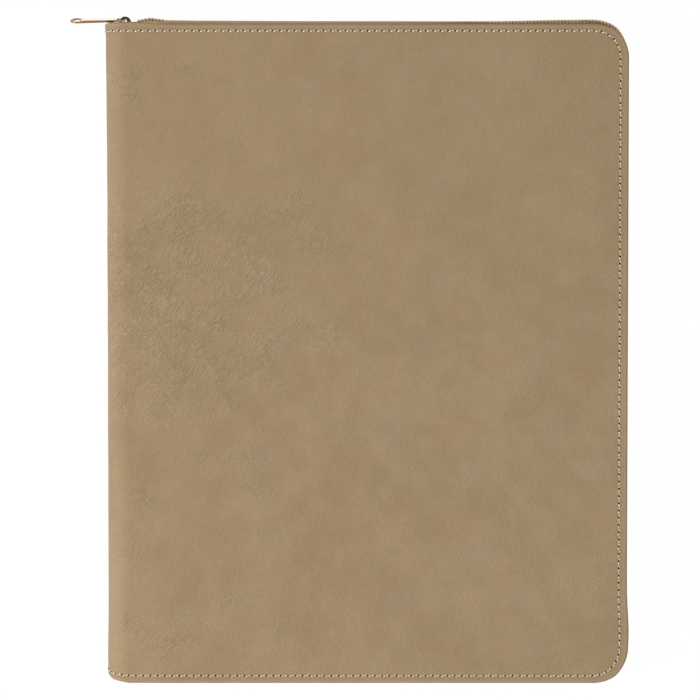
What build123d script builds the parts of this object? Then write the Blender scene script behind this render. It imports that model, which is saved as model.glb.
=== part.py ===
from build123d import *

import os
from math import atan2, cos, degrees, pi, sin

# A zippered padfolio for a letter-size pad, closed and lying on its back cover.
# The origin is the middle of the back cover's outer face. +X runs from the spine to the fore edge,
# +Y to the edge where the zip closes, and +Z from the back cover to the front cover. Millimetres.

# The closed case, made for a letter-size pad
pad_width = 215.9
pad_height = 279.4
cover_margin = 12.7
closed_thickness = 22.0
corner_radius = 15.9
spine_flat = 3.0

# Layers of a cover, from the outside in, and its turned edge
leather = 1.2
foam = 0.6
board = 1.2
lining = 0.5
edge_roll = 0.9
layer_clearance = 0.3
fold_gap = 0.2

# Zip tapes: where their outer face runs, measured from the leather's edge, and their section
zip_sink = 2.4
zip_lift = 0.5
side_sink = 1.0
zip_corner = 14.2
tape = 0.6
tape_gap = 2.8
tape_bend = 1.5
seam_width = 7.0
tail_reach = 2.9
tail_height = 5.2

# Rows of teeth
coil = 1.7
coil_width = 5.2
tooth_pitch = 1.6
tooth_depth = 1.8
tooth_gap = 0.5
coil_end = 6.0

# End stops crimped on the tapes
stop_length = 1.2
stop_width = 2.4
stop_wall = 0.4

# Zip slider
slider_reach = 9.2
slider_length = 9.2
slider_nose = 8.6
slider_tail = 7.6
slider_shoulder = 4.4
slider_plate = 0.8
slider_flange = 0.8
slider_corner = 1.0
slider_edge = 0.3
slide_clearance = 0.25
post_length = 3.6
post_width = 2.4
post_setback = 0.4
post_round = 0.4
end_clearance = 0.4

# Bridge on the slider, and the pull tab that swings on it
bridge_setback = 0.8
bridge_length = 5.3
bridge_height = 2.5
bridge_wall = 0.7
bridge_width = 2.2
pull_length = 25.4
pull_width = 5.6
pull_thickness = 1.0
pull_roll = 12.0
neck_length = 5.0
neck_web = 1.0
neck_arm = 0.7
pivot_bar = 0.7
pivot_clearance = 0.35
eye_radius = 1.8
eye_wall = 1.3
pull_edge = 0.2

# The pad and the sleeve that takes its backing
pad_margin = 8.0
sheets = 5.5
backing = 0.8
binding = 0.4
binding_reach = 18.0
sleeve = 0.8
sleeve_height = 96.0
sleeve_hem = 2.5
sleeve_clearance = 0.3

# Pockets inside the front cover
pocket = 0.9
pocket_height = 172.0
pocket_margin = 11.0
thumb_radius = 12.0
card_pocket = 0.7
card_width = 98.0
card_rear_height = 70.0
card_step = 15.0
card_space = 14.0
card_count = 3

# Elastic pen loop on the spine
loop_bore = 5.0
loop_wall = 0.8
loop_length = 25.0
loop_foot = 2.6
loop_place = -30.0

# Places worked out from the sizes above
cover_width = pad_width + 2 * cover_margin
cover_height = pad_height + 2 * cover_margin
half_width = cover_width / 2
half_height = cover_height / 2
middle = closed_thickness / 2
spine_face = -half_width
fold_radius = (closed_thickness - spine_flat) / 2
flat_left = spine_face + fold_radius
fold_pivot = fold_radius * (1 - pi / 4)
hem = foam + board - tape
flange_top = closed_thickness - leather - hem
lining_top = closed_thickness - leather - foam - board
inner_face = lining_top - lining
lining_inset = max(zip_sink, side_sink) + tape + tape_bend + layer_clearance
hem_width = max(zip_sink, side_sink) + tape + seam_width
floor_face = closed_thickness - inner_face
tail_x = spine_face + tail_reach
pad_right = half_width - pad_margin
pad_left = pad_right - pad_width
spine_inner = spine_face + leather + lining

# The line that the tapes' outer faces follow, from the zip's closed end round to its other end
rail_start = Vector(tail_x, half_height - zip_sink)
rail_top_corner = Vector(half_width - side_sink, half_height + zip_lift)
rail_low_corner = Vector(half_width - side_sink, side_sink - half_height)
rail_end = Vector(tail_x, side_sink - half_height)
rail = FilletPolyline(rail_start, rail_top_corner, rail_low_corner, rail_end, radius=zip_corner)
top_run, top_bend, side_run, low_bend, low_run = rail.order_edges()
top_direction = (rail_top_corner - rail_start).normalized()

# Heights of the slider's parts above the tapes' outer face
outer_plate_low = coil + slide_clearance
outer_plate_top = outer_plate_low + slider_plate
inner_plate_top = -tape - slide_clearance
inner_plate_low = inner_plate_top - slider_plate
flange_low = slide_clearance
bridge_opening = bridge_height - bridge_wall
pivot_height = outer_plate_top + bridge_opening / 2

# Where the slider stands when the zip is closed, and the pull's bar on it
slider_place = rail_start + top_direction * (slider_reach - tail_reach) + Vector(0, 0, middle)
slider_seat = Plane(origin=slider_place, x_dir=top_direction, z_dir=(0, 0, 1)).location
pull_seat = slider_seat * Pos(-bridge_setback, pivot_height) * Rot(X=pull_roll)
eye_centre = pull_length - eye_wall - eye_radius


def cover_plan(inset, left):
    """A cover seen from above, drawn in from its three free edges."""
    width = half_width - inset - left
    plan = Pos(left + width / 2, 0) * Rectangle(width, cover_height - 2 * inset)
    free_corners = plan.vertices().sort_by(Axis.X)[-2:]
    return fillet(free_corners, corner_radius - inset)


def panel(left, right, low, high):
    """A plain rectangle between four sides."""
    return Pos((left + right) / 2, (low + high) / 2) * Rectangle(right - left, high - low)


def layer(plan, low, thickness):
    """A flat layer of the stack, from its lower face up."""
    return Pos(0, 0, low) * extrude(plan, thickness)


def to_back(shape):
    """The same piece on the back cover, mirrored across the closed case's middle plane."""
    return mirror(shape, about=Plane.XY.offset(middle))


def along_height(profile):
    """A profile across the case, drawn in X and Z, run over the whole height of the cover."""
    return extrude(Plane.XZ * profile, half_height, both=True)


def ring_sector(centre, outer_radius, inner_radius, start_angle, turn):
    """Part of a flat ring, between two radii and over a turn in degrees."""
    outer = CenterArc(centre, outer_radius, start_angle, turn)
    inner = CenterArc(centre, inner_radius, start_angle, turn)
    return make_face([outer, inner, Line(outer @ 0, inner @ 0), Line(outer @ 1, inner @ 1)])


def fold_profile(centre, start_angle, turn):
    """The leather's section round part of a fold."""
    return ring_sector(centre, fold_radius, fold_radius - leather, start_angle, turn)


def rounded_ends(shell):
    """Roll the outer edge at both ends of a piece that runs over the height of the cover."""
    end_edges = shell.edges().filter_by(lambda edge: abs(edge.center().Y) > half_height - edge_roll)
    bends = end_edges.filter_by(lambda edge: edge.geom_type == GeomType.CIRCLE)
    outer_bends = bends.filter_by(lambda edge: edge.radius > fold_radius - leather / 2)
    upright = end_edges.filter_by(Axis.Z)
    outer_sides = upright.filter_by(lambda edge: edge.center().X < spine_face + leather / 2)
    return fillet(outer_bends + outer_sides, edge_roll)


def cover_leather():
    """Front leather: a panel with its edge turned in, and its half of the fold to the spine."""
    block = layer(cover_plan(0, flat_left), flange_top, leather + hem)
    rims = block.edges().filter_by(Axis.Z, reverse=True)
    free_rims = rims.filter_by(lambda edge: edge.center().X > flat_left + edge_roll)
    block = fillet(free_rims, edge_roll)
    recess = layer(cover_plan(hem_width, flat_left), flange_top, hem)
    gap_angle = degrees(fold_gap / 2 / fold_radius)
    fold = fold_profile((flat_left, closed_thickness - fold_radius), 90, 45 - gap_angle)
    return block - recess + rounded_ends(along_height(fold))


def spine_leather():
    """Leather of the spine: a narrow flat between its halves of the two folds."""
    gap_angle = degrees(fold_gap / 2 / fold_radius)
    front_fold = fold_profile((flat_left, closed_thickness - fold_radius), 135 + gap_angle, 45 - gap_angle)
    back_fold = fold_profile((flat_left, fold_radius), 180, 45 - gap_angle)
    flat = panel(spine_face, spine_face + leather, fold_radius, closed_thickness - fold_radius)
    return rounded_ends(along_height(front_fold + flat + back_fold))


def spine_lining():
    """Lining strip down the flat of the spine, between the two turned hems."""
    strip = panel(spine_face + leather, spine_inner, fold_radius, closed_thickness - fold_radius)
    return extrude(Plane.XZ * strip, half_height - hem_width, both=True)


def zipper_tape():
    """Front tape: sewn flange under the turned edge, bent down into the wall, with two free tails."""
    low = middle + tape_gap / 2
    section = make_face(Polyline(
        (0, low), (0, flange_top), (-tape - seam_width, flange_top),
        (-tape - seam_width, flange_top - tape), (-tape, flange_top - tape), (-tape, low), close=True))
    section = fillet(section.vertices().sort_by_distance((0, flange_top))[0], tape_bend + tape)
    section = fillet(section.vertices().sort_by_distance((-tape, flange_top - tape))[0], tape_bend)
    across = Vector(-top_direction.Y, top_direction.X)
    start = Plane(origin=rail_start, x_dir=across, z_dir=top_direction)
    tape_wall = sweep(start * section, path=rail)
    above_tail = panel(spine_face, flat_left + layer_clearance, -cover_height, cover_height)
    return tape_wall - layer(above_tail, middle + tail_height, closed_thickness)


def wall_plane(place, direction):
    """Drawing plane on the outside of the teeth, facing in, with X along the zip and Y up."""
    outward = Vector(-direction.Y, direction.X)
    return Plane(origin=place + outward * coil, x_dir=direction, z_dir=-outward)


def straight_teeth(run, start, side):
    """Interlocking teeth along a straight run, from a distance past its start."""
    length = run.length - start
    count = round(length / tooth_pitch)
    step = length / count
    line = middle + tooth_gap / 2
    tips = [(step * (k + 0.5) / 2, line + side * (-1) ** k * tooth_depth / 2) for k in range(2 * count)]
    top = middle + coil_width / 2
    outline = Polyline((0, top), (0, line), *tips, (length, line), (length, top), close=True)
    direction = run.tangent_at(0)
    plane = wall_plane(run.position_at(0) + direction * start, direction)
    return extrude(plane * make_face(outline), coil)


def bend_teeth(bend, side):
    """Teeth that fan out round a corner on a curved backbone."""
    root = middle + tooth_gap / 2 + tooth_depth / 2
    centre = bend.arc_center
    turn = bend.length / zip_corner
    count = round(turn * (zip_corner + coil / 2) / tooth_pitch)
    step = turn / count
    half_tooth = step * (zip_corner + coil / 2) / 2
    first = bend.position_at(0) - centre
    first_angle = atan2(first.Y, first.X)
    strip = ring_sector(centre, zip_corner + coil, zip_corner, degrees(first_angle), -degrees(turn))
    backbone = layer(strip, root, middle + coil_width / 2 - root)
    tooth = make_face(Polyline((-half_tooth, root), (half_tooth, root), (0, root - tooth_depth), close=True))
    offsets = [k + 0.5 for k in range(count)] if side > 0 else range(1, count)
    teeth = []
    for offset in offsets:
        angle = first_angle - offset * step
        place = centre + Vector(cos(angle), sin(angle)) * zip_corner
        teeth.append(extrude(wall_plane(place, Vector(sin(angle), -cos(angle))) * tooth, coil))
    return backbone + teeth


def zipper_coil(side):
    """One row of teeth; the other row takes the other side of the same zigzag line."""
    top_start = slider_reach + slider_length / 2 + end_clearance - tail_reach
    row = straight_teeth(top_run, top_start, side) + bend_teeth(top_bend, side)
    row += straight_teeth(side_run, 0, side) + bend_teeth(low_bend, side)
    row += straight_teeth(low_run, 0, side)
    spare = panel(spine_face, spine_face + coil_end, -cover_height, 0)
    return row - layer(spare, 0, closed_thickness)


def tape_stop(place, direction):
    """A metal clip folded round a tape's inner edge."""
    low = middle + tape_gap / 2 - stop_wall
    clip = panel(0, stop_length, low, low + stop_width)
    slot = panel(0, stop_length, low + stop_wall, low + stop_width)
    outward = Vector(-direction.Y, direction.X)
    outer = Plane(origin=place + outward * stop_wall, x_dir=direction, z_dir=-outward)
    inner = Plane(origin=place, x_dir=direction, z_dir=-outward)
    return extrude(outer * clip, tape + 2 * stop_wall) - extrude(inner * slot, tape)


def zipper_stops():
    """Front tape's two stops, one at each end of the zip."""
    low_stop_start = low_run.position_at(1) - low_run.tangent_at(0) * (coil_end - tail_reach)
    return [
        tape_stop(top_run.position_at(0), top_run.tangent_at(0)),
        tape_stop(low_stop_start, low_run.tangent_at(0)),
    ]


def slider_plan(length, nose, tail):
    """Outline of the slider, wide at the nose where the tapes part."""
    half = length / 2
    shoulder = slider_shoulder - slider_length / 2
    return make_face(Polyline(
        (-half, -nose / 2), (shoulder, -nose / 2), (half, -tail / 2),
        (half, tail / 2), (shoulder, nose / 2), (-half, nose / 2), close=True))


def across_wall(plan, low, high):
    """A plan drawn along the zip wall, given thickness between two heights above the tape."""
    return extrude(Plane.XZ.offset(-high) * plan, high - low)


def slider_body():
    """Slider: two plates joined by the post that parts the teeth, with a flange down each side."""
    plan = slider_plan(slider_length, slider_nose, slider_tail)
    plan = fillet(plan.vertices(), slider_corner)
    channel = slider_plan(2 * slider_length, slider_nose - 2 * slider_flange, slider_tail - 2 * slider_flange)
    outer_plate = across_wall(plan, outer_plate_low, outer_plate_top)
    outer_plate = fillet(outer_plate.faces().sort_by(Axis.Y)[-1].edges(), slider_edge)
    inner_plate = across_wall(plan, inner_plate_low, inner_plate_top)
    inner_plate = fillet(inner_plate.faces().sort_by(Axis.Y)[0].edges(), slider_edge)
    flanges = across_wall(plan - channel, flange_low, outer_plate_low)
    post_nose = post_setback - slider_length / 2
    post_plan = make_face(Polyline(
        (post_nose, -post_width / 2), (post_nose + post_length, 0), (post_nose, post_width / 2), close=True))
    post = across_wall(fillet(post_plan.vertices(), post_round), inner_plate_top, outer_plate_low)
    return outer_plate + inner_plate + flanges + post


def slider_bridge():
    """Arched strap over the slider, under which the pull's bar turns."""
    half = bridge_length / 2
    inner_half = half - bridge_wall
    outer = ThreePointArc((-half, 0), (0, bridge_height), (half, 0))
    inner = ThreePointArc((-inner_half, 0), (0, bridge_opening), (inner_half, 0))
    feet = [Line(outer @ 0, inner @ 0), Line(outer @ 1, inner @ 1)]
    strap = extrude(make_face([outer, inner, *feet]), bridge_width / 2, both=True)
    return Pos(-bridge_setback, outer_plate_top) * strap


def pull_tab():
    """Pull tab with an open neck round the bridge and an eye at its tip, lying towards the spine."""
    window_end = neck_length - neck_web
    neck_width = bridge_width + 2 * pivot_clearance + 2 * neck_arm
    neck = panel(-neck_length, pivot_bar / 2, -neck_width / 2, neck_width / 2)
    window = panel(-window_end, -pivot_bar / 2, neck_arm - neck_width / 2, neck_width / 2 - neck_arm)
    blade = panel(-eye_centre, -neck_length, -pull_width / 2, pull_width / 2)
    blade = fillet(blade.vertices().sort_by(Axis.X)[-2:], slider_corner)
    tip = Pos(-eye_centre) * Ellipse(eye_wall + eye_radius, pull_width / 2)
    eye = Pos(-eye_centre) * Circle(eye_radius)
    thick = across_wall(blade + tip - eye, -pull_thickness / 2, pull_thickness / 2)
    broad_faces = thick.faces().filter_by(Axis.Y)
    thick = fillet(broad_faces.edges(), pull_edge)
    thin = across_wall(neck - window, -pivot_bar / 2, pivot_bar / 2)
    return thick + thin


def pad_sleeve():
    """Panel sewn to the back lining on three sides, open at the top for the pad's backing."""
    outer = sleeve_hem + sleeve_clearance
    low = -pad_height / 2 - outer
    panel_plan = panel(pad_left - outer, pad_right + outer, low, low + sleeve_height)
    slot_left = pad_left - sleeve_clearance
    slot_right = pad_right + sleeve_clearance
    slot_plan = panel(slot_left, slot_right, low + sleeve_hem, half_height)
    return layer(panel_plan, floor_face, backing + sleeve) - layer(slot_plan, floor_face, backing)


def pad_plan():
    """The pad seen from above."""
    return panel(pad_left, pad_right, -pad_height / 2, pad_height / 2)


def pad_sheets():
    """Block of sheets on the backing, lifted over the sleeve where it lies on it."""
    over_sleeve = panel(pad_left, pad_right, -pad_height / 2,
                        sleeve_height - pad_height / 2 - sleeve_hem)
    block = layer(pad_plan(), floor_face + backing, sleeve + sheets)
    return block - layer(over_sleeve, floor_face + backing, sleeve)


def pad_binding():
    """Paper tape over the glued top edge of the pad."""
    top = floor_face + backing + sleeve + sheets
    edge = pad_height / 2
    over_top = layer(panel(pad_left, pad_right, edge - binding_reach, edge + binding), top, binding)
    over_edge = layer(panel(pad_left, pad_right, edge, edge + binding), floor_face, top - floor_face)
    return over_top + over_edge


def document_pocket():
    """Flat pocket over the lower part of the front lining, with a thumb cut in its mouth."""
    left = flat_left + pocket_margin
    right = half_width - pocket_margin
    low = pocket_margin - half_height
    plan = panel(left, right, low, low + pocket_height)
    plan -= Pos((left + right) / 2, low + pocket_height) * Circle(thumb_radius)
    return layer(plan, inner_face - pocket, pocket)


def card_pocket_plan(index):
    """One of the card pockets, each a step shorter than the one behind it."""
    low = pocket_margin - half_height + pocket_height + card_space
    centre = (flat_left + half_width) / 2
    height = card_rear_height - index * card_step
    plan = panel(centre - card_width / 2, centre + card_width / 2, low, low + height)
    return layer(plan, inner_face - (index + 1) * card_pocket, card_pocket)


def pen_loop():
    """Elastic loop sewn along the flat of the spine."""
    centre = spine_inner + loop_bore + loop_wall
    ring = Pos(centre, middle) * Circle(loop_bore + loop_wall)
    foot = panel(spine_inner, centre, middle - loop_foot / 2, middle + loop_foot / 2)
    bore = Pos(centre, middle) * Circle(loop_bore)
    return Pos(0, loop_place) * extrude(Plane.XZ * (ring + foot - bore), loop_length / 2, both=True)


padding_plan = cover_plan(hem_width + layer_clearance, flat_left + layer_clearance)
front_foam = layer(padding_plan, closed_thickness - leather - foam, foam)
front_board = layer(padding_plan, lining_top, board)
front_lining = layer(cover_plan(lining_inset, flat_left), inner_face, lining)
front_leather = cover_leather()
front_tape = zipper_tape()
front_stops = zipper_stops()

pieces = {
    "front_leather": front_leather,
    "front_foam": front_foam,
    "front_board": front_board,
    "front_lining": front_lining,
    "front_zipper_tape": front_tape,
    "front_zipper_coil": zipper_coil(1),
    "front_zipper_stops": Compound(children=front_stops),
    "document_pocket": document_pocket(),
    "spine_leather": spine_leather(),
    "spine_lining": spine_lining(),
    "pen_loop": pen_loop(),
    "back_leather": to_back(front_leather),
    "back_foam": to_back(front_foam),
    "back_board": to_back(front_board),
    "back_lining": to_back(front_lining),
    "back_zipper_tape": to_back(front_tape),
    "back_zipper_coil": to_back(zipper_coil(-1)),
    "back_zipper_stops": Compound(children=[to_back(stop) for stop in front_stops]),
    "pad_sleeve": pad_sleeve(),
    "notepad_backing": layer(pad_plan(), floor_face, backing),
    "notepad_sheets": pad_sheets(),
    "notepad_binding": pad_binding(),
    "slider_body": slider_seat * slider_body(),
    "slider_bridge": slider_seat * slider_bridge(),
    "pull_tab": pull_seat * pull_tab(),
}
for number in range(card_count):
    pieces[f"card_pocket_{number + 1}"] = card_pocket_plan(number)

os.makedirs("parts", exist_ok=True)
for name, shape in pieces.items():
    export_step(shape, f"parts/{name}.step")

# Where the moving pieces turn and slide, and where the eye and the pen loop are
print("folds at", spine_face + fold_pivot, fold_pivot, closed_thickness - fold_pivot)
print("slide along", top_direction, "for", top_run.length + tail_reach - slider_reach - slider_length / 2)
print("pull turns at", pull_seat.position, "about", Plane(pull_seat).z_dir)
print("eye at", (pull_seat * Pos(-eye_centre)).position, "facing", Plane(pull_seat).y_dir)
print("pen loop at", spine_inner + loop_bore + loop_wall, loop_place, middle)
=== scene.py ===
"""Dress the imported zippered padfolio, lying closed on its back cover, and set it in a plain studio.

Sizes are in millimetres and colours in 0 to 255 sRGB; meshes and finishes turn them into Blender's units.
X runs from the spine to the fore edge, Y to the edge where the zip closes, and Z up from the back cover.
"""

import logging
import math
from dataclasses import dataclass, field
from enum import Enum
from typing import Callable, Optional, Sequence, Union

import bmesh
import bpy
import numpy as np
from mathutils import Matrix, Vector, noise
from mathutils.geometry import delaunay_2d_cdt
from mathutils.kdtree import KDTree

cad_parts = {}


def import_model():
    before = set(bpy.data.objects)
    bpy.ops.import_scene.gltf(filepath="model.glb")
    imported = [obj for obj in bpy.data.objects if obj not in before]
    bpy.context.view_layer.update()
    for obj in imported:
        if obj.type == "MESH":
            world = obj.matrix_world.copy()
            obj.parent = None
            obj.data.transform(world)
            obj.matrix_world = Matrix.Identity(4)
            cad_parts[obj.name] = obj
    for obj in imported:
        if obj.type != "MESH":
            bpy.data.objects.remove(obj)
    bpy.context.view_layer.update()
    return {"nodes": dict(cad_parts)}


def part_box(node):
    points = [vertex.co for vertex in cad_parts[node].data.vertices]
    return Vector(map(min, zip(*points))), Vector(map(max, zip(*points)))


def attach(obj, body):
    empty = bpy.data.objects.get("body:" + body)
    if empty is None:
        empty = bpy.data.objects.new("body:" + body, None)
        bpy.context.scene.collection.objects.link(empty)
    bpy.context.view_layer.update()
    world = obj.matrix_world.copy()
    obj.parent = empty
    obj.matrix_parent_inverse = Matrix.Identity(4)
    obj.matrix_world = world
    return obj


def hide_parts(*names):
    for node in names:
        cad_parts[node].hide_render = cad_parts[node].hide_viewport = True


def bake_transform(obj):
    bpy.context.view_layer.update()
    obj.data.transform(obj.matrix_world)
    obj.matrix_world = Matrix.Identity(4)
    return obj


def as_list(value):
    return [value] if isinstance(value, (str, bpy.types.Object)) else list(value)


MM = 0.001
FLAT_UV = "flat"
UP = "up"
EDGE = "edge"
PUCKER = "pucker"
ALONG = "along"
WHITE = (1.0, 1.0, 1.0, 1.0)
Array = np.ndarray
Material = bpy.types.Material
Piece = bpy.types.Object
Triple = tuple[float, float, float]
Colour = Triple
log = logging.getLogger("padfolio")


def linear(colour: Colour) -> tuple[float, ...]:
    """Turn an sRGB colour of 0 to 255 into the linear colour that a socket takes."""
    shares = [value / 255 for value in colour]
    parts = [share / 12.92 if share <= 0.04045 else ((share + 0.055) / 1.055) ** 2.4 for share in shares]
    return (*parts, 1.0)


def per_mm(size: float) -> float:
    """The scale of a texture in metres whose features are a size in millimetres apart."""
    return 1 / (size * MM)


def smooth_step(values: Array, low: float, high: float) -> Array:
    """Rise smoothly from 0 at low to 1 at high."""
    share = np.clip((values - low) / (high - low), 0, 1)
    return share * share * (3 - 2 * share)


def bell(values: Array, centre: float, width: float) -> Array:
    """A rounded hump of height 1 round a centre."""
    return np.exp(-(((values - centre) / width) ** 2))


def field_noise(points: Array, size: float, seed: float) -> Array:
    """Smooth noise from about -1 to 1 over flat points.

    Args:
        points: Flat points, in millimetres.
        size: Distance between the noise's features.
        seed: Third coordinate, which picks one pattern of many.

    Returns:
        One value for each point.
    """
    return np.array([noise.noise((x / size, y / size, seed)) for x, y in points])


class Wire:
    """One output of a node tree; arithmetic on it adds Math nodes."""

    def __init__(self, tree: "Nodes", socket: bpy.types.NodeSocket) -> None:
        """Keep the tree and the output socket."""
        self.tree = tree
        self.socket = socket

    def _math(self, operation: str, first: "Value", second: "Value" = 0.0) -> "Wire":
        """Add one Math node."""
        return self.tree.node("ShaderNodeMath", {"operation": operation}, {0: first, 1: second})

    def __add__(self, other: "Value") -> "Wire":
        """Sum."""
        return self._math("ADD", self, other)

    def __radd__(self, other: "Value") -> "Wire":
        """Sum with the number first."""
        return self._math("ADD", other, self)

    def __sub__(self, other: "Value") -> "Wire":
        """Difference."""
        return self._math("SUBTRACT", self, other)

    def __rsub__(self, other: "Value") -> "Wire":
        """Difference with the number first."""
        return self._math("SUBTRACT", other, self)

    def __mul__(self, other: "Value") -> "Wire":
        """Product."""
        return self._math("MULTIPLY", self, other)

    def __rmul__(self, other: "Value") -> "Wire":
        """Product with the number first."""
        return self._math("MULTIPLY", other, self)

    def size(self) -> "Wire":
        """The value without its sign."""
        return self._math("ABSOLUTE", self)

    def sine(self) -> "Wire":
        """The sine of the value."""
        return self._math("SINE", self)

    def ripple(self, size: float) -> "Wire":
        """A wave from 0 to 1 that comes again every size in millimetres, of a value in metres."""
        return (self * (2 * math.pi * per_mm(size))).sine() * 0.5 + 0.5

    def remainder(self, step: float) -> "Wire":
        """What is left past the last whole step, never negative."""
        return self._math("FLOORED_MODULO", self, step)

    def step(self, low: float, high: float) -> "Wire":
        """Rise smoothly from 0 at low to 1 at high, or fall where low is the larger."""
        sockets = {"Value": self, "From Min": low, "From Max": high}
        return self.tree.node("ShaderNodeMapRange", {"interpolation_type": "SMOOTHSTEP"}, sockets)


Value = Union[Wire, float, int]


class Nodes:
    """A node tree that is built one node at a time, for a finish or for Geometry Nodes."""

    def __init__(self, tree: bpy.types.NodeTree) -> None:
        """Start on an empty tree."""
        self.tree = tree
        tree.nodes.clear()

    def node(self, kind: str, settings: Optional[dict] = None, sockets: Optional[dict] = None,
             output: Union[int, str] = 0) -> Wire:
        """Add a node.

        Args:
            kind: The node's type.
            settings: Properties of the node, which are set first.
            sockets: Values, wires or lists of wires for its inputs, by name or number.
            output: The output that is returned.

        Returns:
            That output as a wire.
        """
        made = self.tree.nodes.new(kind)
        for name, value in (settings or {}).items():
            setattr(made, name, value)
        for name, value in (sockets or {}).items():
            if isinstance(value, (Wire, list)):
                for wire in value if isinstance(value, list) else [value]:
                    self.tree.links.new(wire.socket, made.inputs[name])
            else:
                made.inputs[name].default_value = value
        return Wire(self, made.outputs[output])

    def vector(self, x: Value, y: Value, z: Value) -> Wire:
        """Put three values together."""
        return self.node("ShaderNodeCombineXYZ", None, {0: x, 1: y, 2: z})

    def node_end(self, kind: str, result: Wire) -> None:
        """Add the tree's output node, which has no output socket of its own."""
        end = self.tree.nodes.new(kind)
        self.tree.links.new(result.socket, end.inputs[0])


class Paint(Nodes):
    """The node tree of one material."""

    def __init__(self, name: str) -> None:
        """Make the material and clear its tree."""
        self.material = bpy.data.materials.new(name)
        self.material.use_nodes = True
        super().__init__(self.material.node_tree)

    def place(self) -> Wire:
        """Object coordinates, in metres."""
        return self.node("ShaderNodeTexCoord", None, None, "Object")

    def flat(self) -> Wire:
        """The piece laid out flat, in metres."""
        return self.node("ShaderNodeUVMap", {"uv_map": FLAT_UV})

    def axis(self, vector: Wire, name: str) -> Wire:
        """One coordinate of a vector."""
        return self.node("ShaderNodeSeparateXYZ", None, {0: vector}, name)

    def attribute(self, name: str) -> Wire:
        """A value that the mesh carries at its points."""
        return self.node("ShaderNodeAttribute", {"attribute_name": name}, None, "Fac")

    def mapped(self, vector: Wire, scale: Triple, turn: float = 0.0,
               shift: Triple = (0.0, 0.0, 0.0)) -> Wire:
        """Turn a vector about Z by degrees, then shift and stretch it."""
        turned = self.node("ShaderNodeVectorRotate", {"rotation_type": "Z_AXIS"},
                           {"Vector": vector, "Angle": math.radians(turn)})
        return self.node("ShaderNodeMapping", None, {"Vector": turned, "Location": shift, "Scale": scale})

    def grain(self, vector: Wire, scale: float, detail: float, roughness: float) -> Wire:
        """Smooth noise from 0 to 1."""
        sockets = {"Vector": vector, "Scale": scale, "Detail": detail, "Roughness": roughness}
        return self.node("ShaderNodeTexNoise", None, sockets)

    def cells(self, vector: Wire, scale: float) -> Wire:
        """Distance to the nearest of scattered points, in cells."""
        return self.node("ShaderNodeTexVoronoi", None, {"Vector": vector, "Scale": scale})

    def warped(self, vector: Wire, size: float, reach: float) -> Wire:
        """Push a vector about by noise.

        Args:
            vector: The vector, in metres.
            size: Distance between the noise's features, in millimetres.
            reach: How far the noise pushes, in millimetres.

        Returns:
            The moved vector.
        """
        push = self.node("ShaderNodeTexNoise", None, {"Vector": vector, "Scale": per_mm(size), "Detail": 1.0},
                         "Color")
        centred = self.node("ShaderNodeVectorMath", {"operation": "SUBTRACT"}, {0: push, 1: (0.5, 0.5, 0.5)})
        scaled = self.node("ShaderNodeVectorMath", {"operation": "SCALE"},
                           {0: centred, "Scale": 2 * reach * MM})
        return self.node("ShaderNodeVectorMath", {"operation": "ADD"}, {0: vector, 1: scaled})

    def mix(self, share: Value, first: Union[Wire, Colour], second: Union[Wire, Colour]) -> Wire:
        """Blend from one colour to another."""
        ends = [end if isinstance(end, Wire) else linear(end) for end in (first, second)]
        return self.node("ShaderNodeMix", {"data_type": "RGBA"}, {0: share, 6: ends[0], 7: ends[1]}, 2)

    def bump(self, height: Wire, depth: float, strength: float) -> Wire:
        """A normal from a height whose unit is a depth in millimetres."""
        return self.node("ShaderNodeBump", None,
                         {"Strength": strength, "Distance": depth * MM, "Height": height})

    def done(self, colour: Union[Wire, Colour], roughness: Value, normal: Optional[Wire] = None,
             **constants: float) -> Material:
        """Close the tree with a Principled shader.

        Args:
            colour: Base colour.
            roughness: Roughness.
            normal: Normal, where the surface has relief.
            constants: Other sockets' values, with underscores for spaces.

        Returns:
            The finished material.
        """
        sockets: dict = {"Base Color": colour if isinstance(colour, Wire) else linear(colour),
                         "Roughness": roughness}
        if normal is not None:
            sockets["Normal"] = normal
        sockets.update({name.replace("_", " "): value for name, value in constants.items()})
        shader = self.node("ShaderNodeBsdfPrincipled", None, sockets)
        self.node_end("ShaderNodeOutputMaterial", shader)
        return self.material


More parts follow.
